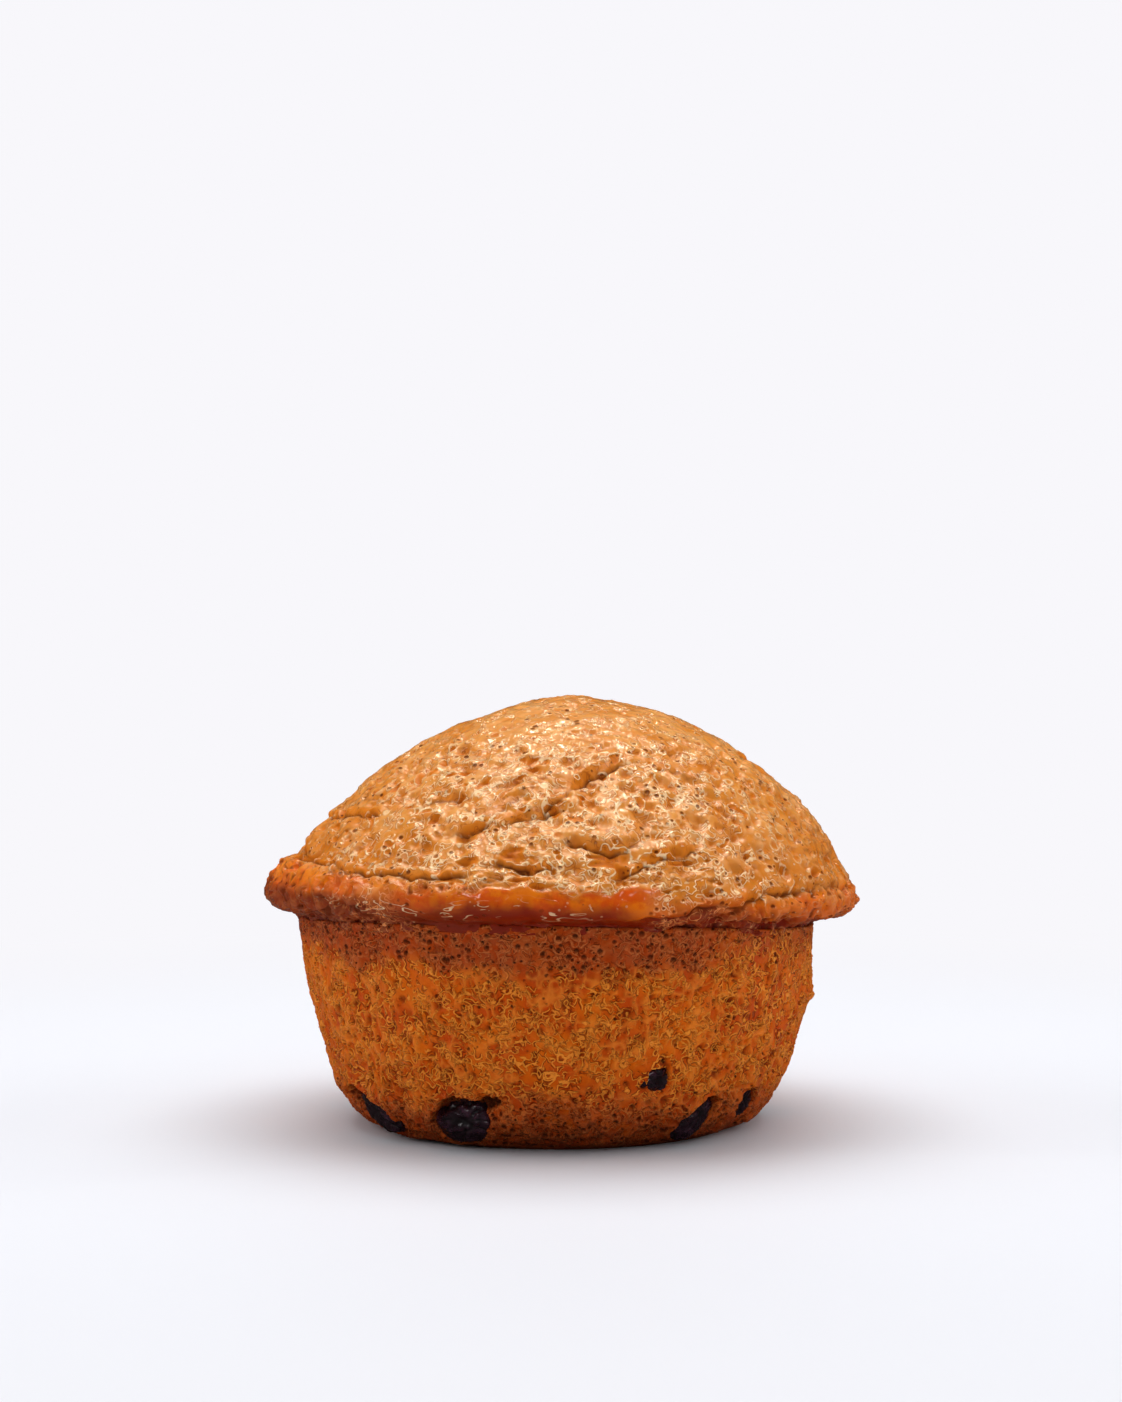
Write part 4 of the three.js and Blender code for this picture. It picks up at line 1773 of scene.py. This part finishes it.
@dataclass
class Crust:
    """What the crown and the stump share: an outline that is spun, worked and thinned.

    The turn is made in steps, which are then divided by the cuts until the points lie about the
    spacing apart, in millimetres. The most is how many triangles are left. The middle comes last
    where the outline ends, rather than starts, at the middle of the shown side.
    """

    name: str
    spacing: float = 0.2
    steps: int = 96
    cuts: int = 11
    most: int = 190_000
    middle_last: bool = False

    def stretches(self) -> list[Triple]:
        """Parts of the outline as first place, last place and spacing in millimetres."""
        raise NotImplementedError

    def work(self, surface: Surface) -> None:
        """Works the crust's relief and the numbers that its finish reads."""
        raise NotImplementedError

    def outline(self) -> np.ndarray:
        """The places of the outline that is spun, before it is divided.

        Returns:
            Places, evenly spaced along each stretch.
        """
        places = []
        for first, last, spacing in self.stretches():
            length = length_along(FORM.meridian(first, last, 600))
            count = max(1, round(length[-1] / (spacing * (self.cuts + 1))))
            even = np.linspace(0, length[-1], count + 1)[:-1]
            places.append(np.interp(even, length, np.linspace(first, last, 600)))
        return np.concatenate([*places, [self.stretches()[-1][1]]])

    def build(self, material: bpy.types.Material) -> bpy.types.Object:
        """Spins, works and thins the crust.

        Args:
            material: its finish.

        Returns:
            The piece.
        """
        cuts = self.cuts
        piece = spin_outline(self.name, self.outline(), self.steps, cuts)
        mesh = piece.data
        spun = read_points(mesh)
        azimuth = np.arctan2(spun[:, 0], -spun[:, 1])
        along = read_values(mesh.attributes["along"].data, "value", 1)[:, 0]
        base = FORM.points(azimuth, along)
        write_points(mesh, base)
        surface = Surface(base, azimuth, along)
        self.work(surface)
        moved = base + read_values(mesh.vertex_normals, "vector", 3) * surface.out[:, None]
        moved[:, 2] = np.maximum(moved[:, 2], 0.0)
        write_points(mesh, FORM.centred(moved))
        for name, values in surface.marks.items():
            write_number(mesh, name, values)
        self.lay_out(mesh, azimuth, along)
        thin_to(piece, self.most)
        mesh = piece.data
        mesh.attributes.remove(mesh.attributes["along"])
        settle(piece, material, "muffin")
        return piece

    def lay_out(self, mesh: bpy.types.Mesh, azimuth: np.ndarray, along: np.ndarray) -> None:
        """Unrolls the crust onto a disc of even scale, so that its finish can be laid flat.

        Args:
            mesh: the crust's mesh.
            azimuth: radians of its points from the front towards the right.
            along: their places on the outline.
        """
        line = FORM.meridian(along.min(), along.max(), 400)
        radius = np.hypot(line[:, 0], line[:, 1])
        rings = np.diff(length_along(line)) * (radius[1:] + radius[:-1])
        area = np.concatenate([[0.0], np.cumsum(rings)])
        part = area / area[-1]
        share = np.sqrt(1.0 - part if self.middle_last else part)
        out = np.interp(along, np.linspace(along.min(), along.max(), 400), share) * 0.49
        places = np.stack([0.5 + out * np.sin(azimuth), 0.5 - out * np.cos(azimuth)], axis=1)
        if mesh.uv_layers:
            mesh.uv_layers.remove(mesh.uv_layers[0])
        layer = mesh.uv_layers.new(name="OFBake")
        corners = np.empty(len(mesh.loops), dtype=np.int32)
        mesh.loops.foreach_get("vertex_index", corners)
        layer.data.foreach_set("uv", places[corners].ravel())


@dataclass
class Crown(Crust):
    """The domed crown with its rolled rim, closed underneath inside the stump.

    Heights are millimetres above the base, and turns are degrees from the front towards the
    right. A span says where something starts and where it has its whole strength. Lumps called
    uneven make borders wander, and a warp does so with a pattern. Gaps say where pits are smaller.

    The roll is the smooth, glossy part of the rim at the front, between its left and right ends.
    The calm heights are where relief gets weaker towards the top. Drawn pools are the front's
    hollows, which are drawn out along the crust by shortening the places they are measured on. The
    laced parts show the painted highlights of the fine squiggles brightest, and the heights in
    toasted_and_shaded are where the skin gets browner and more amber, partly as painted shade. The
    lip is the rough rest of the rim, below the tops given at the lip's turns.
    """

    name: str = "crown_and_rim"
    middle_last: bool = True
    finish: CrownFinish = field(default_factory=CrownFinish)
    uneven: tuple[Lumps, ...] = (Lumps(0.8, 5.0, 33), Lumps(0.4, 2.0, 34))
    roll_edge: Lumps = Lumps(1.1, 1.2, 93, stretch=(0.6, 0.6, 1.0))
    roll_levels: Span = (34.0, 33.2)
    roll_left: Span = (-46.0, -24.0)
    roll_right: Span = (28.0, 12.0)
    roll_lumps: tuple[Lumps, ...] = (Lumps(0.14, 2.2, 95), Lumps(0.08, 1.1, 96))
    calm: Span = (49.0, 54.0)
    scales: tuple[Scales, ...] = (
        Scales(0.2, 4.4, 36, where=Mask(5.5, 35, 0.1, 0.5)),
        Scales(0.12, 2.5, 38, where=Mask(3.6, 37, 0.15, 0.5)),
    )
    bumps: tuple[Lumps, ...] = (Lumps(0.16, 2.9, 56), Lumps(0.1, 1.6, 57))
    dents: Dents = Dents(Pores(2.9, 0.8, 1.45, 0.95, 180), 0.5, (0.35, -0.8), 0.5, (0.0, -0.8))
    swells: Cells = Cells(2.9, 46)
    swell_warp: Lumps = Lumps(0.5, 3.0, 45)
    dimples: Dents = Dents(Pores(1.75, 0.4, 0.86, 0.9, 120), 0.36, (0.25, -0.5), 0.7, (0.1, -0.4))
    drawn_levels: Span = (41.0, 37.5)
    front: Span = (0.75, 0.95)
    pools: Pools = Pools(1.5, 0.54, 30)
    drawn_pools: Pools = Pools(0.9, 0.25, 47)
    drawn_stretch: Triple = (0.34, 0.34, 1.0)
    pits: Pores = Pores(1.6, 0.22, 0.5, 0.7, 140)
    pit_gaps: Mask = Mask(4.1, 32, 0.1, -0.6)
    flat_pits: Pores = Pores(1.7, 0.25, 0.7, 0.6, 160, flatness=1.7)
    flat_pit_levels: Span = (37.0, 46.0)
    flat_pit_gaps: Mask = Mask(3.4, 39, 0.3, -0.2)
    worms: Ridges = Ridges(1.15, 0.3, 43)
    worm_warp: Lumps = Lumps(0.3, 1.5, 42)
    worm_places: Mask = Mask(3.0, 44, -0.3, 0.2)
    laced: Span = (0.45, 0.85)
    laced_levels: Span = (48.0, 54.0)
    toasted_and_shaded: Span = (46.0, 36.0)
    lip_turns: tuple[float, ...] = (-180, -120, -70, -46, -20, 8, 14, 30, 45, 75, 120, 180)
    lip_tops: tuple[float, ...] = (34, 35.2, 36.2, 35.6, 34.8, 34, 31, 31.3, 32.6, 33.4, 33, 34)
    lip_lumps: tuple[Lumps, ...] = (Lumps(0.34, 1.7, 58), Lumps(0.24, 0.9, 59))
    lip_pits: Mask = Mask(1.0, 60, -0.3, -0.62)
    lip_pit_shade: Mask = Mask(1.0, 60, -0.38, -0.62)
    lip_ridges: Ridges = Ridges(0.9, 0.25, 94)
    lip_stretch: Triple = (1.0, 1.0, 0.6)
    wet_glint_level: float = 31.2
    browned_lumps: Lumps = Lumps(0.7, 1.3, 48, stretch=(1.0, 1.0, 0.3))

    def stretches(self) -> list[Triple]:
        """Parts of the outline as first place, last place and spacing in millimetres."""
        bounds = (Stretch.UNDER_RIM.value, Stretch.RIM_NOSE.value, Stretch.RIM_TOP.value, CROWN_TOP)
        rim_and_crown = [(first, last, self.spacing) for first, last in zip(bounds, bounds[1:])]
        return [(2.95, 3.0, 1.0), *rim_and_crown]

    def work(self, surface: Surface) -> None:
        """Works the crown's crust: scales, dimples, pits, wrinkles and the smooth front roll.

        Args:
            surface: the crown's smooth form.
        """
        surface.work_main()
        uneven = heights(surface.base, *self.uneven)
        roll = self.roll(surface, uneven)
        surface.out += roll * heights(surface.base, *self.roll_lumps)
        rough = (1.0 - 0.94 * roll) * lerp(1.0, 0.6, ease(surface.height, *self.calm))
        self.work_skin(surface, rough)
        self.work_fine(surface, rough)
        self.work_lip(surface, uneven, roll)
        self.toast_and_side_shade(surface, uneven)
        self.brown(surface, uneven)

    def roll(self, surface: Surface, uneven: np.ndarray) -> np.ndarray:
        """Where the smooth, glossy roll at the front is, from 0 to 1 at each point.

        Args:
            surface: the crown.
            uneven: how its borders wander.

        Returns:
            Array of n values.
        """
        level = surface.height + 0.5 * uneven + self.roll_edge.at(surface.base)
        left = ease(surface.turn, *self.roll_left)
        right = ease(surface.turn + 7.0 * uneven, *self.roll_right)
        return ease(level, *self.roll_levels) * left * right

    def work_skin(self, surface: Surface, rough: np.ndarray) -> None:
        """Works the skin's scales, lumps, dents and swollen cells.

        Args:
            surface: the crown.
            rough: how strongly each point is worked.
        """
        base = surface.base
        arc = self.arc(surface.along)
        for scales in self.scales:
            surface.work_scales(arc, rough * scales.where.at(base), scales)
        surface.out += rough * heights(base, *self.bumps)
        smooth = 0.9 * (1.0 - rough)
        surface.work_dents(self.dents, smooth)
        groove = self.swells.walls(self.swell_warp.warp(base))
        surface.out -= 0.14 * rough * groove**2
        # Painted shade in the grooves between the swollen cells.
        surface.mark("recess", 0.4 * rough * groove**3)
        surface.work_dents(self.dimples, smooth)

    def work_fine(self, surface: Surface, rough: np.ndarray) -> None:
        """Works the hollows, pits and fine ridges.

        Args:
            surface: the crown.
            rough: how strongly each point is worked.
        """
        base, height = surface.base, surface.height
        drawn = ease(height, *self.drawn_levels) * ease(surface.facing, *self.front)
        high = 0.8 * ease(height, *self.flat_pit_levels)
        hollows = [
            self.pools.away(base) + drawn,
            1.6 * self.drawn_pools.away(base * self.drawn_stretch) + 1.2 * (1.0 - drawn),
            self.pits.away(base) + 0.5 * self.pit_gaps.at(base),
            self.flat_pits.away(base) + high + 0.4 * self.flat_pit_gaps.at(base),
        ]
        nearest = np.minimum.reduce(hollows) + 1.2 * (1.0 - rough)
        surface.work_hollows(nearest, depth=0.36, rim=0.07, reach=0.5)
        worm = self.worms.at(self.worm_warp.warp(base)) * rough * self.worm_places.at(base)
        surface.out += 0.07 * worm
        # The fine ridges are painted light as a highlight.
        surface.mark("pale", 0.22 * worm)

    def work_lip(self, surface: Surface, uneven: np.ndarray, roll: np.ndarray) -> None:
        """Works the rim's lumps and pits, paints shade in the pits and a highlight on its pale
        ridges, and marks its glaze and its thin glossy lines, painted as highlights.

        Args:
            surface: the crown.
            uneven: how its borders wander.
            roll: where the smooth roll is.
        """
        base = surface.base
        top = np.interp(surface.turn, self.lip_turns, self.lip_tops)
        lip = ease(surface.height + 0.4 * uneven, top + 0.1, top - 0.9) * (1.0 - roll)
        surface.out += lip * heights(base, *self.lip_lumps)
        surface.out -= 0.2 * lip * self.lip_pits.at(base)
        # Painted shade in the pits, and a painted highlight on the ridges.
        surface.mark("pore", 0.8 * lip * self.lip_pit_shade.at(base))
        surface.mark("pale", 0.4 * lip * self.lip_ridges.at(base * self.lip_stretch))
        fried = lerp(0.62, 0.4, ease(surface.turn, 45.0, 70.0))
        surface.mark("glaze", np.maximum(roll, fried * lip))
        # Thin glossy lines round the roll, painted as highlights.
        wet_glint = bump(surface.height + 0.4 * uneven, self.wet_glint_level, 1.0)
        wet_glint = wet_glint * ease(surface.facing, 0.5, 0.8) * ease(surface.rightwards, 0.4, -0.2)
        surface.mark("wet_glint", wet_glint)

    def toast_and_side_shade(self, surface: Surface, uneven: np.ndarray) -> None:
        """Marks where the painted highlights of the fine squiggles are brightest, and where the
        skin is browner and more amber, partly as painted shade.

        Args:
            surface: the crown.
            uneven: how its borders wander.
        """
        # The painted highlights of the squiggles are brightest facing the front, below the top.
        top = lerp(1.0, 0.35, ease(surface.height, *self.laced_levels))
        surface.mark("lace", ease(surface.facing, *self.laced) * top)
        # More amber lower down and towards the sides than at the front, partly painted shade.
        front = lerp(1.0, 0.35, ease(surface.facing, *self.front))
        surface.mark("toast_and_side_shade", ease(surface.height + 2.0 * uneven, *self.toasted_and_shaded) * front)

    def arc(self, along: np.ndarray) -> np.ndarray:
        """Distance from the top along the surface, for places on the outline."""
        length = length_along(FORM.meridian(3.0, CROWN_TOP, 800))
        return length[-1] - np.interp(along, np.linspace(3.0, CROWN_TOP, 800), length)

    def brown(self, surface: Surface, uneven: np.ndarray) -> None:
        """Marks where the rim baked browner, and where its underside is reddish purple.

        Args:
            surface: the crown.
            uneven: how its borders wander.
        """
        raised, lowered = bump(surface.turn, 12.0, 14.0), bump(surface.turn, -14.0, 15.0)
        level = surface.height + 0.6 * raised - 0.8 * lowered + self.browned_lumps.at(surface.base)
        left = ease(surface.rightwards, -0.1, -0.6)
        front = ease(level + 1.1 * uneven, 34.0, 29.8)
        starts, full = lerp(32.6, 35.4, left), lerp(30.2, 31.6, left)
        side = lerp(0.5, 0.82, left) * ease(level + uneven, starts, full)
        surface.mark("browning", lerp(side, front, ease(surface.facing, 0.55, 0.9)))
        surface.mark("browning", ease(surface.along, 4.6, 3.6))
        surface.mark("mauve", 0.55 * left * ease(level + uneven, 34.0, 31.4))


@dataclass
class Stump(Crust):
    """The tapered stump with its crumbly side, flat base and the hollows that hold the berries.

    Heights are millimetres above the base, and turns are degrees from the front towards the
    right. A span says where something starts and where it has its whole strength. The band is the
    darker ring under the rim, which fades to the right. Strands are the threads of the crumb,
    drawn out lengthways at the left, and hollows are the open cells between them. Lumps called
    ragged make the berries' holes stray from an oval, as shares of their size.
    """

    name: str = "stump_and_base"
    finish: StumpFinish = field(default_factory=StumpFinish)
    off_floor: Span = (0.1, 1.4)
    band: Span = (23.0, 25.5)
    band_lumps: Lumps = Lumps(1.2, 4.0, 62)
    left: Span = (-0.2, -0.7)
    strands: Ridges = Ridges(1.5, 0.26, 60)
    strand_warp: Lumps = Lumps(0.45, 1.9, 61)
    fine_strands: Ridges = Ridges(1.0, 0.28, 67)
    fine_warp: Lumps = Lumps(0.3, 1.3, 66)
    strand_places: Mask = Mask(3.2, 68, -0.8, -0.1)
    hollows: Dents = Dents(Pores(1.9, 0.35, 0.85, 0.8, 240), 0.36, (0.2, -0.5), 1.0, (0.1, -0.35))
    pits: Pores = Pores(1.2, 0.16, 0.34, 0.7, 220)
    pit_gaps: Mask = Mask(3.7, 63, 0.3, -0.4)
    uneven: tuple[Lumps, ...] = (Lumps(1.5, 6.0, 64), Lumps(0.8, 2.5, 65))
    mottle: Lumps = Lumps(0.9, 1.4, 97)
    right: Span = (18.0, 45.0)
    ragged: tuple[Lumps, ...] = (Lumps(0.16, 1.6, 71), Lumps(0.08, 0.8, 72))
    hole_depth: float = 1.9

    def stretches(self) -> list[Triple]:
        """Parts of the outline as first place, last place and spacing in millimetres."""
        foot, side = Stretch.FOOT.value, Stretch.SIDE.value
        base = (BASE_MIDDLE, foot, 2 * self.spacing)
        return [base, (foot, side, self.spacing), (side, 2.999, self.spacing)]

    def work(self, surface: Surface) -> None:
        """Works the stump's crumb: strands, pits, browning and the holes that show the berries.

        Args:
            surface: the stump's smooth form.
        """
        surface.work_main()
        base, height = surface.base, surface.height
        off_floor = ease(height, *self.off_floor)
        band = ease(height + self.band_lumps.at(base), *self.band)
        strand = self.strand(surface, band)
        surface.out += off_floor * 0.42 * strand
        # The strands are painted light, partly as a highlight on the crumb's ridges.
        surface.mark("pale", strand)
        smooth = 0.8 * (1.0 - off_floor)
        # Painted shade in the open cells, weaker on the strands.
        surface.work_dents(self.hollows, 0.25 * band + smooth, 1.0 - 0.7 * strand)
        pit = self.pits.away(base) + 0.3 * (1.0 - band) * self.pit_gaps.at(base)
        surface.work_hollows(pit + smooth, depth=0.3, rim=0.04, reach=0.3)
        surface.out *= ease(height, 0.0, 0.8)
        self.brown(surface)
        for spot in BERRY_SPOTS:
            self.open_hole(surface, spot)

    def strand(self, surface: Surface, band: np.ndarray) -> np.ndarray:
        """The threads of the crumb, from 0 to 1 at each point.

        Args:
            surface: the stump.
            band: where the ring under the rim is, which has weaker threads.

        Returns:
            Array of n values.
        """
        base = surface.base
        drawn = base.copy()
        drawn[:, 2] *= lerp(0.9, 0.55, ease(surface.rightwards, *self.left))
        coarse = self.strands.at(drawn + self.strand_warp.at(base)[:, None])
        fine = self.fine_strands.at(drawn + self.fine_warp.at(base)[:, None])
        strand = np.maximum(coarse, 0.85 * fine)
        return strand * lerp(1.0, 0.45, band) * self.strand_places.at(base)

    def brown(self, surface: Surface) -> None:
        """Marks the darker ring under the rim and the browned and scorched foot, darker still at
        the front, partly as painted contact shade.

        Args:
            surface: the stump.
        """
        height = surface.height
        uneven = heights(surface.base, *self.uneven)
        mixed = height + uneven + self.mottle.at(surface.base)
        right = ease(surface.turn, *self.right)
        surface.mark("browning", lerp(0.9, 0.5, right) * ease(mixed, 21.0, 26.0))
        surface.mark("browning", 0.85 * ease(height + uneven, 13.0, 2.0))
        # Darker at the foot where it faces the front: partly scorched crust, partly painted contact
        # shade.
        scorch_and_contact_shade = ease(height + 0.6 * uneven, 7.5, 0.5) * ease(surface.facing, 0.2, 0.9)
        surface.mark("scorch_and_contact_shade", 0.75 * scorch_and_contact_shade)
        surface.mark("mauve", lerp(0.5, 0.2, right) * ease(mixed, 22.0, 26.0))

    def open_hole(self, surface: Surface, spot: BerrySpot) -> None:
        """Opens the ragged hole that a berry shows through, and its stained dents.

        Args:
            surface: the stump.
            spot: the berry's place.
        """
        points = FORM.centred(surface.base)
        ragged = 1.0 + heights(surface.base, *self.ragged)
        local = spot.local(points)
        outside = spot.outside(points) / (1.04 * ragged)
        near = (local[:, 1] < 0) & (outside < 3.0)
        inside = ease(outside, 1.04, 0.92) * near
        surface.out += 0.18 * bump(outside, 1.16, 0.14) * near - self.hole_depth * inside
        # The crust sunk inside the hole is painted dark as shade.
        surface.mark("pore", 0.8 * inside)
        for along, across, radius in spot.stains:
            away = np.linalg.norm(local[:, [0, 2]] - (along, across), axis=1) / (radius * ragged)
            darkening = ease(away, 1.15, 0.8) * near
            surface.out -= 0.7 * radius * darkening
            surface.mark("pore", 0.95 * darkening)


# ---- studio ----------------------------------------------------------------------------------


class Lit(Enum):
    """Which surfaces a soft box lights: whether dull ones, and whether glossy ones."""

    EVERY = (True, True)
    DULL = (True, False)
    GLOSSY = (False, True)


@dataclass(frozen=True)
class SoftBox:
    """A rectangular area light, in metres, radians and watts, and the surfaces it lights."""

    name: str
    place: Triple
    turn: Triple
    size: Span
    power: float
    lit: Lit
    tint: Colour = (1.0, 1.0, 1.0)

    def build(self) -> None:
        """Hangs the light in the studio."""
        data = bpy.data.lights.new(self.name, "AREA")
        data.shape = "RECTANGLE"
        data.size, data.size_y = self.size
        data.energy = self.power
        data.color = self.tint
        light = bpy.data.objects.new(self.name, data)
        light.location = self.place
        light.rotation_euler = self.turn
        light.visible_diffuse, light.visible_glossy = self.lit.value
        bpy.context.scene.collection.objects.link(light)


SOFT_BOXES = [
    SoftBox("overhead", (0.0, 0.06, 0.5), (-0.1, 0.0, 0.0), (0.46, 0.4), 0.4, Lit.EVERY),
    SoftBox("overhead_fill", (0.0, 0.06, 0.51), (-0.1, 0.0, 0.0), (0.6, 0.5), 2.45, Lit.DULL),
    SoftBox("front_fill", (0.0, -0.7, 0.35), (1.1, 0.0, 0.0), (0.6, 0.3), 0.7, Lit.DULL),
    SoftBox("left_lamp", (-0.3, -0.45, 0.3), (0.9, 0.0, -0.6), (0.08, 0.08), 0.3, Lit.GLOSSY),
    SoftBox("right_lamp", (0.25, -0.5, 0.3), (0.95, 0.0, 0.45), (0.08, 0.08), 0.2, Lit.GLOSSY),
    SoftBox("left_fill", (-0.5, 0.0, 0.25), (0.0, -1.1, 0.0), (0.4, 0.5), 1.0, Lit.DULL),
    SoftBox("right_fill", (0.5, 0.0, 0.25), (0.0, 1.1, 0.0), (0.4, 0.5), 1.0, Lit.DULL),
    SoftBox("back_fill", (0.0, 0.8, 0.3), (-1.2, 0.0, 0.0), (0.9, 0.4), 2.2, Lit.DULL),
]


@dataclass(frozen=True)
class LampRows:
    """Small warm lamps overhead, in rows, that show only as highlights.

    The middle is the place of the muffin's axis in the pattern, in lamps and rows, every second
    lamp is moved back by the stagger, and all lean towards the axis. Sizes are in metres.
    """

    rows: int = 4
    pitch: Span = (0.11, 0.12)
    middle: Span = (1.6, 1.1)
    stagger: float = 0.03
    height: float = 0.5
    aim: float = 0.45
    size: float = 0.035
    power: float = 0.15
    tint: Colour = (1.0, 0.88, 0.68)

    def build(self) -> None:
        """Hangs the lamps."""
        for row, column in np.ndindex(self.rows, self.rows):
            x = self.pitch[0] * (column - self.middle[0])
            y = self.pitch[1] * (row - self.middle[1]) + self.stagger * (column % 2)
            turn = (-y / self.aim, x / self.aim, 0.0)
            place, size = (x, y, self.height), (self.size, self.size)
            name = f"lamp_{row}_{column}"
            SoftBox(name, place, turn, size, self.power, Lit.GLOSSY, self.tint).build()


@dataclass(frozen=True)
class Studio:
    """Pale floor, soft overhead light and the camera.

    Places are in metres, the lens and its sensor in millimetres. Over the millimetres of
    floor_clear the floor turns into the backdrop. What is mirrored is how glossy surfaces see it.
    """

    camera_distance: float = 0.324
    camera_height: float = 0.0567
    lens: float = 60.8
    sensor: float = 36.0
    floor_radius: float = 6.0
    floor_clear: Span = (70.0, 260.0)
    backdrop: Colour = linear(248, 247, 251)
    floor: Colour = (0.72, 0.735, 0.78)
    floor_mirrored: Colour = (0.05, 0.045, 0.04)
    sky: Colour = (1.0, 0.98, 1.0)
    daylight: float = 0.24
    daylight_mirrored: float = 0.02

    def build(self) -> None:
        """Sets the camera, the lights and the floor."""
        self._camera()
        self._floor()
        for box in SOFT_BOXES:
            box.build()
        LampRows().build()
        self._surroundings()
        bpy.context.scene.view_settings.view_transform = "Standard"

    def _camera(self) -> None:
        """A level camera in front of the muffin."""
        data = bpy.data.cameras.new("camera")
        data.lens = self.lens
        data.sensor_width = self.sensor
        data.clip_start = 0.01
        camera = bpy.data.objects.new("camera", data)
        camera.location = (0.0, -self.camera_distance, self.camera_height)
        camera.rotation_euler = (math.pi / 2, 0.0, 0.0)
        bpy.context.scene.collection.objects.link(camera)
        bpy.context.scene.camera = camera

    def _floor(self) -> None:
        """A round floor that glows like the backdrop away from the muffin."""
        bpy.ops.mesh.primitive_circle_add(vertices=96, radius=self.floor_radius, fill_type="NGON")
        floor = bpy.context.object
        floor.name = "floor"
        g = Graph("floor")
        away = g.vectors("LENGTH", g.place).outputs["Value"]
        rays = g.nodes.new("ShaderNodeLightPath")
        glow = g.nodes.new("ShaderNodeEmission")
        glow.inputs["Color"].default_value = (*self.backdrop, 1.0)
        blend = g.nodes.new("ShaderNodeMixShader")
        shown = g.times(g.ramp(away, *self.floor_clear), rays.outputs["Is Camera Ray"])
        g.links.new(shown, blend.inputs[0])
        g.links.new(g.shader.outputs["BSDF"], blend.inputs[1])
        g.links.new(glow.outputs["Emission"], blend.inputs[2])
        g.links.new(blend.outputs[0], g.output.inputs["Surface"])
        dull = g.ramp(rays.outputs["Is Glossy Ray"], 0.0, 1.0)
        g.feed(g.shader.inputs["Base Color"], g.mix(dull, self.floor, self.floor_mirrored))
        g.shader.inputs["Roughness"].default_value = 0.6
        g.shader.inputs["Specular IOR Level"].default_value = 0.2
        floor.data.materials.append(g.material)

    def _surroundings(self) -> None:
        """White surroundings that are dimmer where glossy surfaces mirror them."""
        world = bpy.data.worlds.new("surroundings")
        world.use_nodes = True
        nodes, links = world.node_tree.nodes, world.node_tree.links
        nodes.clear()
        rays = nodes.new("ShaderNodeLightPath")
        shown = nodes.new("ShaderNodeBackground")
        shown.inputs["Color"].default_value = (*self.backdrop, 1.0)
        by_gloss, by_camera = (nodes.new("ShaderNodeMixShader") for _ in range(2))
        links.new(rays.outputs["Is Glossy Ray"], by_gloss.inputs[0])
        links.new(rays.outputs["Is Camera Ray"], by_camera.inputs[0])
        for socket, strength in ((1, self.daylight), (2, self.daylight_mirrored)):
            lighting = nodes.new("ShaderNodeBackground")
            lighting.inputs["Color"].default_value = (*self.sky, 1.0)
            lighting.inputs["Strength"].default_value = strength
            links.new(lighting.outputs[0], by_gloss.inputs[socket])
        links.new(by_gloss.outputs[0], by_camera.inputs[1])
        links.new(shown.outputs[0], by_camera.inputs[2])
        output = nodes.new("ShaderNodeOutputWorld")
        links.new(by_camera.outputs[0], output.inputs["Surface"])
        bpy.context.scene.world = world


# ---- assembly --------------------------------------------------------------------------------


def plain(box: tuple) -> list[list[float]]:
    """A box's corners as plain lists."""
    return [list(map(float, corner)) for corner in box]


def main() -> None:
    """Builds the studio and the muffin, piece by piece."""
    logging.basicConfig(level=logging.INFO, format="%(message)s")
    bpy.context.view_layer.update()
    Studio().build()
    crown = Crown()
    crown.build(crown.finish.material())
    stump = Stump()
    stump.build(stump.finish.material())
    skin = BerryFinish().material()
    for spot in BERRY_SPOTS:
        Berry(spot).build(skin)


if __name__ == "__main__":
    main()
